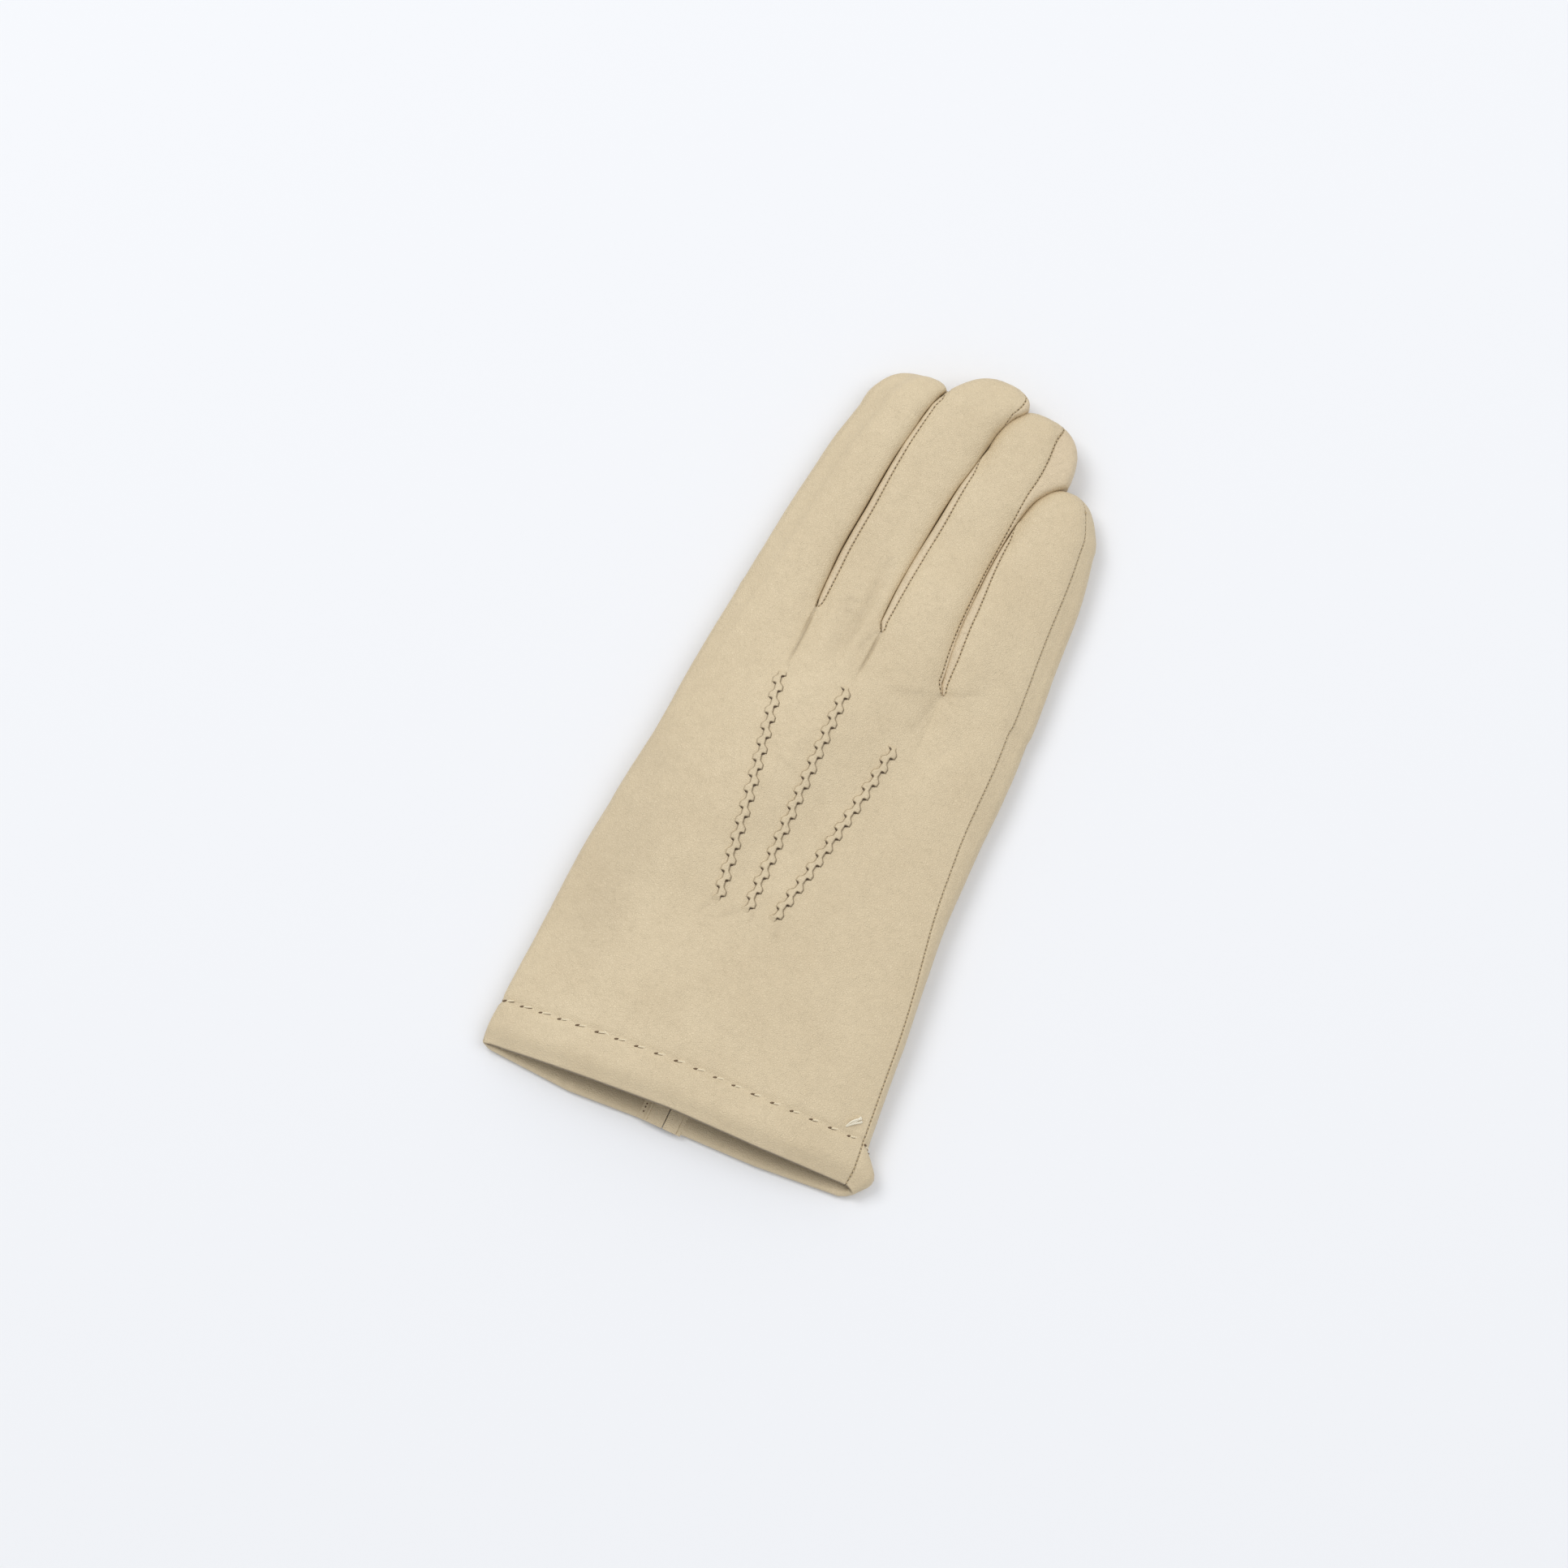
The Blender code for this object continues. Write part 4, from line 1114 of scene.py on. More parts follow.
class SeamNet:
    """All sewn seams together, to ask how near a place is to one."""

    def __init__(self, lines: dict[str, Array]) -> None:
        """Index the places of every seam.

        Args:
            lines: the seams, as places SEAM_SAMPLE apart.
        """
        self.spots = np.concatenate(list(lines.values()))
        self.owner = np.repeat(np.arange(len(lines)), [len(line) for line in lines.values()])
        self.run = np.concatenate([np.arange(len(line)) * SEAM_SAMPLE for line in lines.values()])
        self.tree = index_places(self.spots)

    def nearest(self, place: Array) -> tuple[Array, Array]:
        """The distance to the nearest seam and the run along it, in mm.

        Args:
            place: the places to ask for.

        Returns:
            The distances and the runs.
        """
        first = np.array([self.tree.find(spot)[1] for spot in place])
        best = np.linalg.norm(place - self.spots[first], axis=1)
        run = self.run[first]
        for step in (-1, 1):
            other = np.clip(first + step, 0, len(self.spots) - 1)
            way = self.spots[other] - self.spots[first]
            length = np.maximum((way * way).sum(axis=1), TINY)
            t = np.clip(((place - self.spots[first]) * way).sum(axis=1) / length, 0.0, 1.0)
            far = np.linalg.norm(place - self.spots[first] - way * t[:, None], axis=1)
            closer = (far < best) & (self.owner[other] == self.owner[first])
            run = np.where(closer, self.run[first] + step * t * SEAM_SAMPLE, run)
            best = np.where(closer, far, best)
        return best, run


class Lumps(NamedTuple):
    """Soft irregularity of the leather: its height and its size in mm, and a seed."""

    height: float
    size: float
    seed: float


def rough(place: Array, lumps: Lumps) -> Array:
    """How far the lumps stand out at places, on both sides of 0."""
    offset = Vector((lumps.seed, -lumps.seed, 2.0 * lumps.seed))
    return lumps.height * np.array([noise.noise(Vector(spot) / lumps.size + offset) for spot in place])


@dataclass
class Relief:
    """How the leather departs from its smooth form, in mm."""

    seam_round: float = 0.38
    lumps: tuple[Lumps, ...] = (Lumps(0.32, 18.0, 3.0), Lumps(0.08, 6.0, 11.0))
    hem_puff: float = 0.35
    puff_power: float = 0.7
    hem_start: float = 1.5
    hem_end: float = 13.4
    hem_dip: float = 0.35
    hem_dip_width: float = 1.1
    pucker: float = 0.14
    pucker_width: float = 2.4
    wall_ends: float = 3.0
    crease_start: float = 4.0
    crease_end: float = 3.0
    crease_least: float = 0.15
    crease_darkest: float = 5.0
    roll: float = 2.0
    roll_depth: float = 6.0
    palm_roll: float = 0.2
    # Painted shade: a dark line on the rim under the back's edge, a dark lip on the inner face just inside
    # the mouth, and the inner face darker further into the mouth.
    rim_shade: float = 0.8
    rim_span: Pair = (0.1, 0.35)
    lip_shade: float = 0.7
    lip_span: Pair = (0.4, 1.6)
    lining_shade: float = 0.26
    lining_span: Pair = (1.0, 6.0)
    seam_reach: float = 1.6

    def hem(self, place: Array, from_cuff: Array) -> Array:
        """How far the turned hem falls inwards; a negative value is its puff.

        Args:
            place: places on the smooth form.
            from_cuff: distances from the cuff's edge.

        Returns:
            The falls in mm.
        """
        share = (from_cuff - self.hem_start) / (self.hem_end - self.hem_start)
        puff = self.hem_puff * np.sin(np.pi * np.clip(share, 0.0, 1.0)) ** self.puff_power
        line = bell(from_cuff - HEM_DEPTH, self.hem_dip_width)
        wave = np.cos(place[:, 0] * math.tau / HEM_PITCH) * bell(from_cuff - HEM_DEPTH, self.pucker_width)
        return line * self.hem_dip - puff + wave * self.pucker

    def creases(self, place: Array) -> tuple[Array, Array]:
        """How far the back is pressed in by its creases, and how much painted shade they get.

        Args:
            place: places on the smooth form.

        Returns:
            The depths in mm and the shares of painted shade.
        """
        depth, shade = np.zeros((2, len(place)))
        for crease in CREASES:
            far, share = to_polyline(place[:, 0], place[:, 1], crease.places)
            ends = smooth(share * self.crease_start) * smooth((1.0 - share) * self.crease_end)
            pressed = bell(far, crease.width)
            depth += crease.depth * (ends + self.crease_least) * pressed
            darkest = np.maximum(ends, 1.0 - smooth(share * self.crease_darkest))
            shade += crease.shade * darkest * pressed
        return depth, shade

    def soft(self, place: Array, normal: Array, from_cuff: Array) -> Array:
        """How far both faces of the leather fall inwards: creases, swell and the rolled cuff.

        Args:
            place: places on the smooth form.
            normal: the ways out of it.
            from_cuff: distances from the cuff's edge.

        Returns:
            The falls in mm.
        """
        up = np.clip(normal[:, 2], 0.0, 1.0)
        soft = self.creases(place)[0] * smooth(up * 2.0)
        for lumps in self.lumps:
            soft += rough(place, lumps)
        rolled = 1.0 - smooth(from_cuff / self.roll_depth)
        return soft + rolled * mix(self.palm_roll, self.roll, smooth(up))

    def film(self, place: Array, normal: Array, from_cuff: Array, net: SeamNet) -> SurfaceFilm:
        """Work out both faces of the leather.

        Args:
            place: places on the smooth form.
            normal: the ways out of it.
            from_cuff: distances from the cuff's edge.
            net: the sewn seams.

        Returns:
            The outer and inner faces with the values that the finishes read.
        """
        near, run = net.nearest(place)
        soft = self.soft(place, normal, from_cuff)
        thick = mix(CUFF_WALL, TRANK_WALL, eased(from_cuff, HEM_DEPTH, self.wall_ends))
        rim = rounding(from_cuff, CUFF_WALL / 2.0)
        fall = soft + self.hem(place, from_cuff) + rounding(near, self.seam_round) + rim
        outer = place - normal * fall[:, None]
        inner = place - normal * (soft + thick - rim)[:, None]
        for face in (outer, inner):
            face[:, 2] = np.maximum(face[:, 2], REST)
        # Painted shade: the creases' shade, the dark rim line, and the inner face's lip and depth into the
        # mouth.
        up = smooth(normal[:, 2] * 2.0)
        lip = self.lip_shade * (1.0 - eased(from_cuff, *self.lip_span)) * up
        inner_shade = self.lining_shade * eased(from_cuff, *self.lining_span) + lip
        edge = self.rim_shade * (1.0 - eased(from_cuff, *self.rim_span))
        shade = (self.creases(place)[1] + edge) * up
        seam_near = np.clip(1.0 - near / self.seam_reach, 0.0, 1.0)
        return SurfaceFilm(outer, inner, seam_near, run, shade, inner_shade)


def map_grid(mesh: BMesh, rows: Array, columns: Array, form: Form) -> tuple[list[BMVert], Array]:
    """Make a grid of faces and lay it on a form.

    Args:
        mesh: the mesh that gets the grid.
        rows: stations along the form.
        columns: shares across it.
        form: gives the places of stations and shares.

    Returns:
        The vertices, and the row and column of each.
    """
    spots = form(*np.meshgrid(rows, columns, indexing="ij"))
    turns = np.array([len(rows) - 1, len(columns) - 1])
    made = bmesh.ops.create_grid(mesh, x_segments=turns[0], y_segments=turns[1], size=0.5)["verts"]
    cells = np.array([(round((v.co.x + 0.5) * turns[0]), round((v.co.y + 0.5) * turns[1])) for v in made])
    for vertex, (i, j) in zip(made, cells):
        vertex.co = spots[i, j]
    return made, cells


def close_mesh(mesh: BMesh) -> None:
    """Weld seams and poles, and turn the faces outwards.

    Args:
        mesh: the mesh.
    """
    bmesh.ops.remove_doubles(mesh, verts=mesh.verts[:], dist=WELD)
    bmesh.ops.dissolve_degenerate(mesh, edges=mesh.edges[:], dist=WELD)
    bmesh.ops.recalc_face_normals(mesh, faces=mesh.faces[:])


def add_second_face(mesh: BMesh) -> tuple[list[BMVert], list[BMFace]]:
    """Extrude a sheet into a closed wall whose two faces still lie together.

    Args:
        mesh: the sheet.

    Returns:
        The new face's vertices and faces.
    """
    whole = mesh.verts[:] + mesh.edges[:] + mesh.faces[:]
    made = bmesh.ops.extrude_face_region(mesh, geom=whole, use_keep_orig=True)["geom"]
    return tuple([item for item in made if isinstance(item, kind)] for kind in (BMVert, BMFace))


def thicken(mesh: BMesh, wall: float) -> None:
    """Give a sheet a wall of leather, downwards."""
    bmesh.ops.translate(mesh, vec=(0.0, 0.0, -wall), verts=add_second_face(mesh)[0])
    bmesh.ops.recalc_face_normals(mesh, faces=mesh.faces[:])


def add_tube(mesh: BMesh, path: Array, radius: Array | float, sides: int = 8) -> None:
    """Add a closed round cord along a path; its ends are drawn to a point.

    Args:
        mesh: the mesh that gets it.
        path: its centre line.
        radius: its radius, or one at each place.
        sides: how many faces go round it.
    """
    way = unit(np.gradient(path, axis=0))
    flat = unit(np.cross(way, (0.0, 0.0, 1.0)))
    up = np.cross(flat, way)
    ends = np.ones(len(path))
    ends[[0, -1]] = 0.0
    wide = (np.broadcast_to(radius, len(path)) * ends)[:, None, None]

    def form(_: Array, turn: Array) -> Array:
        """The places round every row of the path."""
        around = flat[:, None] * np.cos(turn)[..., None] + up[:, None] * np.sin(turn)[..., None]
        return path[:, None] + around * wide

    before = len(mesh.verts)
    map_grid(mesh, np.arange(len(path)), np.linspace(0.0, math.tau, sides + 1), form)
    mesh.verts.ensure_lookup_table()
    fresh = mesh.verts[before:]
    bmesh.ops.remove_doubles(mesh, verts=fresh, dist=TUBE_WELD)


def to_frame(box: Bounds) -> Callable[[Vector], Vector]:
    """How a place in the glove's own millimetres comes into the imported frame's box.

    Args:
        box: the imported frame's box.

    Returns:
        The function that brings one place there.
    """
    low, high = box
    left, right = (float(edge) for edge in HAND.edges(np.array(0.0)))
    front = PACKED_EDGE * PALM_LENGTH
    end = FINGER_LENGTH + PALM_LENGTH
    middle = Vector(((left + right) / 2.0, (front + end) / 2.0, 0.0))
    centre = Vector(((low.x + high.x) / 2.0, (low.y + high.y) / 2.0, low.z))
    return lambda spot: (spot - middle) * MM + centre


FRAME_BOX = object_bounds()
PLACE = to_frame(FRAME_BOX)


class Skin:
    """The whole outer face of the hand and fingers, its faces labelled by leather piece."""

    neighbours = 3
    softening = 0.05
    over_back = 100.0
    under_floor = -50.0

    def __init__(self) -> None:
        """Map a grid for each panel, weld them and work out the leather's relief."""
        self.mesh = bmesh.new()
        self.cuff = self.mesh.verts.layers.float.new("from_cuff")
        self.part = self.mesh.faces.layers.int.new("part")
        self.add_hand()
        for lane, form in enumerate(FORMS):
            self.add_finger(lane, form)
        close_mesh(self.mesh)
        self.mesh.normal_update()
        self.lines = sewn_lines()
        self.net = SeamNet(self.lines)
        self.relief = Relief()
        self.store_relief()
        self.surface = self.outer_surface()

    def store_relief(self) -> None:
        """Keep both faces of the leather in layers of the mesh."""
        verts = self.mesh.verts
        place = np.array([vertex.co for vertex in verts])
        normal = np.array([vertex.normal for vertex in verts])
        from_cuff = np.array([vertex[self.cuff] for vertex in verts])
        self.place, self.normal, self.from_cuff = place, normal, from_cuff
        self.tree = index_places(place)
        film = self.relief.film(place, normal, from_cuff, self.net)
        for name, values in film._asdict().items():
            kinds = verts.layers.float_vector if values.ndim == 2 else verts.layers.float
            layer = kinds.new(name)
            for vertex, value in zip(verts, values):
                vertex[layer] = value

    def seat(self, spots: Array) -> tuple[Array, Array]:
        """Bring places from the smooth form to the leather's face.

        Args:
            spots: places on the smooth form.

        Returns:
            The places and the ways out of the leather.
        """
        near = np.array([[hit[1] for hit in self.tree.find_n(spot, self.neighbours)] for spot in spots])
        far = np.linalg.norm(self.place[near] - spots[:, None], axis=2)
        share = 1.0 / (far + self.softening)
        share /= share.sum(axis=1, keepdims=True)
        normal = unit((self.normal[near] * share[..., None]).sum(axis=1))
        from_cuff = (self.from_cuff[near] * share).sum(axis=1)
        fall = self.relief.soft(spots, normal, from_cuff) + self.relief.hem(spots, from_cuff)
        return spots - normal * fall[:, None], normal

    def outer_surface(self) -> BVHTree:
        """The outer face as a surface to lay things on.

        Returns:
            The surface.
        """
        panel = self.mesh.copy()
        layer = panel.verts.layers.float_vector["outer"]
        for vertex in panel.verts:
            vertex.co = vertex[layer]
        surface = BVHTree.FromBMesh(panel)
        panel.free()
        return surface

    def shell(self, parts: set[int]) -> BMesh:
        """A closed wall of leather for the faces of the given parts.

        Args:
            parts: the labels of the faces to keep.

        Returns:
            The wall, with the lining's faces given the second material.
        """
        panel = self.mesh.copy()
        part = panel.faces.layers.int["part"]
        cuff = panel.verts.layers.float["from_cuff"]
        others = [face for face in panel.faces if face[part] not in parts]
        bmesh.ops.delete(panel, geom=others, context="FACES")
        verts, faces = add_second_face(panel)
        outer, inner = (panel.verts.layers.float_vector[name] for name in ("outer", "inner"))
        for vertex in panel.verts:
            vertex.co = vertex[outer]
        # The inner face takes its own painted shade, darker further into the mouth.
        shade, dark = (panel.verts.layers.float[name] for name in ("shade", "inner_shade"))
        for vertex in verts:
            vertex.co = vertex[inner]
            vertex[shade] = vertex[dark]
        for face in faces:
            face.material_index = int(min(vertex[cuff] for vertex in face.verts) > TURNED_HEM)
        bmesh.ops.recalc_face_normals(panel, faces=panel.faces[:])
        for name in ("outer", "inner"):
            panel.verts.layers.float_vector.remove(panel.verts.layers.float_vector[name])
        return panel

    def met(self, spot: tuple[float, float, float], way: float) -> float:
        """The height at which a line straight up or down from a place meets the leather."""
        hit = self.surface.ray_cast(Vector(spot), Vector((0.0, 0.0, way)))[0]
        return hit.z if hit else 0.0

    def drop(self, x: float, y: float) -> float:
        """The height of the back straight under a place."""
        return self.met((x, y, self.over_back), -1.0)

    def on_palm(self, x: float, y: float) -> float:
        """The height of the palm side straight over a place."""
        return self.met((x, y, self.under_floor), 1.0)

    def under_palm(self, line: Array) -> Seam:
        """A seam laid on the palm side along a line seen from above."""
        return laid(line[:, 0], line[:, 1], self.on_palm), upright(line, -1.0)

    def add_panel(self, part: int, rows: Array, columns: Array, form: Form,
                  has_cuff: bool = False) -> None:
        """Add one grid of faces, mapped to the glove.

        Args:
            part: the leather piece of its faces.
            rows: stations along the hand or finger.
            columns: shares across the panel.
            form: gives the place of a station and a share.
            has_cuff: whether row 0 is the cuff's edge.
        """
        made, cells = map_grid(self.mesh, rows, columns, form)
        start = form(np.full(len(columns), rows[0]), columns)[:, 1]
        for vertex, (_, column) in zip(made, cells):
            vertex[self.cuff] = abs(vertex.co.y - start[column]) if has_cuff else PALM_LENGTH
        for face in {face for vertex in made for face in vertex.link_faces}:
            face[self.part] = part

    def add_hand(self) -> None:
        """The back, the palm and both sides of the hand."""
        for lane in range(len(FINGERS)):
            self.add_panel(Label.BACK.value, HAND_ROWS, BACK_COLUMNS,
                           lambda row, share: HAND.back(row, lane, share), True)
            self.add_panel(Label.PALM.value, HAND_ROWS, PALM_COLUMNS,
                           lambda row, share: open_vent(HAND.palm(row, lane, share), lane), True)
        for side in Side:
            self.add_panel(Label.PALM.value, HAND_ROWS, SIDE_COLUMNS,
                           lambda row, share: HAND.side(row, side, share), True)

    def add_finger(self, lane: int, form: FingerForm) -> None:
        """The back, the palm side and the two sides of a finger.

        Args:
            lane: the finger's number.
            form: its shape.
        """
        for label, columns in ((Label.BACK, BACK_COLUMNS), (Label.PALM, PALM_COLUMNS)):
            self.add_panel(label.value, STATIONS, columns,
                           lambda s, share: form.face(s, share, label is Label.BACK))
        for side in Side:
            if form.is_outer(side):
                self.add_panel(Label.PALM.value, STATIONS, SIDE_COLUMNS,
                               lambda s, share: form.side(s, side, share))
            else:
                fork = Label.FORK.value + (lane if side is Side.LITTLE else lane - 1)
                self.add_panel(fork, FORK_STATIONS, FORK_COLUMNS,
                               lambda s, share: form.fork(s, side, share))


def open_vent(place: Array, lane: int) -> Array:
    """Draw the palm apart where the vent slits it, between the index and ring halves.

    Args:
        place: places on the palm side, which are moved.
        lane: the finger's number.

    Returns:
        The places.
    """
    front = LANES[VENT_LANE].palm_edge * PALM_LENGTH
    opened = smooth((front + VENT_LENGTH - place[..., 1]) / VENT_CLOSES) * (VENT_OPENING / 2.0 + VENT_SLACK)
    middle = float(HAND.line(np.array(0.0), VENT_LANE, "palm_edge")[0])
    away = np.abs(place[..., 0] - middle)
    shift = opened * np.clip(1.0 - away / VENT_REACH, 0.0, 1.0)
    place[..., 0] += np.where(lane < VENT_LANE, -shift, shift)
    return place


def linear(colour: str) -> tuple[float, float, float, float]:
    """An sRGB hex colour as linear values."""
    parts = (int(colour[at:at + 2], 16) / 255.0 for at in (1, 3, 5))
    return (*(c / 12.92 if c <= 0.04045 else ((c + 0.055) / 1.055) ** 2.4 for c in parts), 1.0)


def add_node(tree: NodeTree, kind: str, values: dict | None = None, links: dict | None = None,
             **settings) -> Node:
    """Add one node.

    Args:
        tree: the material's nodes.
        kind: the node's type, without its ShaderNode prefix.
        values: what its sockets are set to.
        links: the outputs that feed its sockets.
        settings: its own properties.

    Returns:
        The node.
    """
    node = tree.nodes.new("ShaderNode" + kind)
    for name, value in settings.items():
        setattr(node, name, value)
    for socket, value in (values or {}).items():
        node.inputs[socket].default_value = value
    for socket, source in (links or {}).items():
        tree.links.new(source, node.inputs[socket])
    return node


def new_finish(name: str, roughness: float, ior: float) -> tuple[Material, Node]:
    """An empty finish and its shader.

    Args:
        name: its name.
        roughness: its roughness.
        ior: its refraction.

    Returns:
        The finish and the shader.
    """
    finish = bpy.data.materials.new(name)
    finish.use_nodes = True
    shader = finish.node_tree.nodes["Principled BSDF"]
    shader.inputs["Roughness"].default_value = roughness
    shader.inputs["IOR"].default_value = ior
    return finish, shader


def millimetres(tree: NodeTree) -> NodeSocket:
    """Object coordinates in millimetres."""
    place = add_node(tree, "TexCoord").outputs["Object"]
    return add_node(tree, "VectorMath", {1: (1.0 / MM,) * 3}, {0: place}, operation="MULTIPLY").outputs[0]


# The angle through which the wave pattern turns in one unit, in radians
WAVE_TURN = 20.0


@dataclass(frozen=True)
class Nappa:
    """Drum-dyed lamb nappa: a soft, fine grain, an even colour and a low satin gloss."""

    name: str
    colour: str
    hollow: str
    # The dark brown that painted shade mixes towards: in creases, under the back's edge, inside the mouth,
    # in the tucks' pits and outlines and in needle holes.
    crevice: str = "#503c28"
    roughness: float = 0.5
    ior: float = 1.5
    grain: float = 0.6  # the real grain is nearer 0.3 mm, too fine to show here
    grain_depth: float = 0.065
    swirl: float = 5.0
    swirl_reach: float = 3.0
    wrinkle: float = 0.95
    wrinkle_depth: float = 0.18
    mottle: float = 22.0
    mottle_share: float = 0.12
    # How dark the painted shade along each seam's groove is.
    seam_shade: float = 0.46

    def material(self) -> Material:
        """The leather's nodes.

        Returns:
            The finish.
        """
        finish, shader = new_finish(self.name, self.roughness, self.ior)
        tree = finish.node_tree
        add, place = partial(add_node, tree), millimetres(tree)
        swirl = add("TexNoise", {"Scale": 1.0 / self.swirl, "Detail": 2.0}, {"Vector": place})
        turned = add("VectorMath", {1: (self.swirl_reach,) * 3}, {0: swirl.outputs["Color"]},
                     operation="MULTIPLY")
        warped = add("VectorMath", {}, {0: place, 1: turned.outputs[0]})
        cells = add("TexVoronoi", {"Scale": 1.0 / self.grain, "Randomness": 0.9},
                    {"Vector": warped.outputs[0]}, feature="DISTANCE_TO_EDGE")
        pebble = add("MapRange", {"From Min": 0.0, "From Max": 0.28},
                     {"Value": cells.outputs["Distance"]}, interpolation_type="SMOOTHSTEP")
        folds = add("TexNoise", {"Scale": 1.0 / self.wrinkle, "Detail": 2.0, "Distortion": 0.9},
                    {"Vector": place})
        grain = add("Bump", {"Distance": self.grain_depth * MM, "Strength": 1.0},
                    {"Height": pebble.outputs[0]})
        bump = add("Bump", {"Distance": self.wrinkle_depth * MM, "Strength": 1.0},
                   {"Height": folds.outputs["Fac"], "Normal": grain.outputs["Normal"]})
        tree.links.new(bump.outputs["Normal"], shader.inputs["Normal"])
        cloud = add("TexNoise", {"Scale": 1.0 / self.mottle, "Detail": 2.0}, {"Vector": place})
        depth = add("MapRange", {"From Min": 0.3, "From Max": 0.7, "To Max": self.mottle_share},
                    {"Value": cloud.outputs["Fac"]})
        line = add("MapRange", {"From Min": 1.0, "From Max": 0.0, "To Max": 0.12},
                   {"Value": pebble.outputs[0]})
        # Painted shade along the seams: a darker line in each seam's groove, and dark dots where shade fills
        # its needle holes.
        seam = add("Attribute", attribute_name="seam_near")
        near = add("MapRange", {"From Min": 0.8, "From Max": 0.95, "To Max": self.seam_shade},
                   {"Value": seam.outputs["Fac"]})
        run = add("Attribute", attribute_name="seam_run")
        turn = add("Math", {1: math.tau / MACHINE_PITCH}, {0: run.outputs["Fac"]}, operation="MULTIPLY")
        beat = add("Math", {}, {0: turn.outputs[0]}, operation="COSINE")
        hole = add("MapRange", {"From Min": 0.1, "From Max": -0.7}, {"Value": beat.outputs[0]},
                   interpolation_type="SMOOTHSTEP")
        close = add("MapRange", {"From Min": 0.80, "From Max": 0.92, "To Max": 0.55},
                    {"Value": seam.outputs["Fac"]}, interpolation_type="SMOOTHSTEP")
        dot = add("Math", {}, {0: hole.outputs[0], 1: close.outputs[0]}, operation="MULTIPLY")
        # Painted shade from the skin's shade attribute: creases, the rim under the back's edge, the inside
        # of the mouth and the tucks' outlines and pits.
        shade = add("Attribute", attribute_name="shade")
        # The hollow colour takes random mottle, the grain's edges and the painted seam shade.
        total = depth.outputs[0]
        for part in (line.outputs[0], near.outputs[0]):
            total = add("Math", {}, {0: total, 1: part}, use_clamp=True).outputs[0]
        colour = add("Mix", {6: linear(self.colour), 7: linear(self.hollow)}, {0: total}, data_type="RGBA")
        # The needle-hole dots and the shade attribute mix in the painted shade colour.
        dark = add("Math", {}, {0: dot.outputs[0], 1: shade.outputs["Fac"]}, use_clamp=True)
        whole = add("Mix", {7: linear(self.crevice)}, {0: dark.outputs[0], 6: colour.outputs[2]},
                    data_type="RGBA")
        tree.links.new(whole.outputs[2], shader.inputs["Base Color"])
        return finish


@dataclass(frozen=True)
class Cashmere:
    """Fine plain-knitted cashmere: rows of soft loops under a short bloom of fibres."""

    name: str = "cashmere_knit"
    colour: str = "#cdb795"
    hollow: str = "#8d7657"
    roughness: float = 0.95
    ior: float = 1.5
    sheen: float = 0.35
    sheen_roughness: float = 0.5
    loop: float = 0.59375
    fuzz: float = 1.4
    depth: float = 0.35

    def material(self) -> Material:
        """The knit's nodes.

        Returns:
            The finish.
        """
        finish, shader = new_finish(self.name, self.roughness, self.ior)
        shader.inputs["Sheen Weight"].default_value = self.sheen
        shader.inputs["Sheen Roughness"].default_value = self.sheen_roughness
        tree = finish.node_tree
        add, place = partial(add_node, tree), millimetres(tree)
        fuzz = add("TexNoise", {"Scale": self.fuzz, "Detail": 4.0}, {"Vector": place})
        scale = math.tau / (WAVE_TURN * self.loop)
        loops = add("TexWave", {"Scale": scale, "Distortion": 1.2, "Detail": 1.0}, {"Vector": place},
                    bands_direction="X")
        height = add("Math", {}, {0: loops.outputs["Fac"], 1: fuzz.outputs["Fac"]}, operation="MULTIPLY")
        bump = add("Bump", {"Distance": self.depth * MM, "Strength": 1.0}, {"Height": height.outputs[0]})
        tree.links.new(bump.outputs["Normal"], shader.inputs["Normal"])
        colour = add("Mix", {6: linear(self.hollow), 7: linear(self.colour)}, {0: loops.outputs["Fac"]},
                     data_type="RGBA")
        tree.links.new(colour.outputs[2], shader.inputs["Base Color"])
        return finish


@dataclass(frozen=True)
class SpunThread:
    """Plied sewing thread: a twist of bright fibres."""

    name: str
    colour: str
    dark: str
    twist: float = 0.45
    plies: float = 3.0
    ply_depth: float = 0.04
    roughness: float = 0.6
    ior: float = 1.5

    def material(self) -> Material:
        """The thread's nodes.

        Returns:
            The finish.
        """
        finish, shader = new_finish(self.name, self.roughness, self.ior)
        tree = finish.node_tree
        add, place = partial(add_node, tree), millimetres(tree)
        ply = add("TexWave", {"Scale": 1.0 / self.twist / self.plies, "Distortion": 0.6},
                  {"Vector": place}, bands_direction="DIAGONAL")
        bump = add("Bump", {"Distance": self.ply_depth * MM, "Strength": 1.0},
                   {"Height": ply.outputs["Fac"]})
        tree.links.new(bump.outputs["Normal"], shader.inputs["Normal"])
        colour = add("Mix", {6: linear(self.dark), 7: linear(self.colour)}, {0: ply.outputs["Fac"]},
                     data_type="RGBA")
        tree.links.new(colour.outputs[2], shader.inputs["Base Color"])
        return finish


class Wardrobe:
    """The finishes, made once each."""

    def __init__(self) -> None:
        """Make every finish."""
        self.hide = Nappa("lamb_nappa", "#ddcba9", "#a48b65").material()
        self.trim = Nappa("lamb_nappa_trim", "#e0cdac", "#a58c6c", grain=0.5).material()
        self.knit = Cashmere().material()
        self.seam_thread = SpunThread("beige_sewing_thread", "#d6c39d", "#b19a74").material()
        self.hem_thread = SpunThread("cream_hand_thread", "#ecdfc2", "#d8c6a2", 0.3).material()
        self.loose_thread = SpunThread("bleached_thread_end", "#f6efdd", "#e2d6b8", 0.3).material()
        self.hole = SpunThread("needle_hole_shadow", "#776045", "#5d4831").material()


ROOT_BODY = "root"


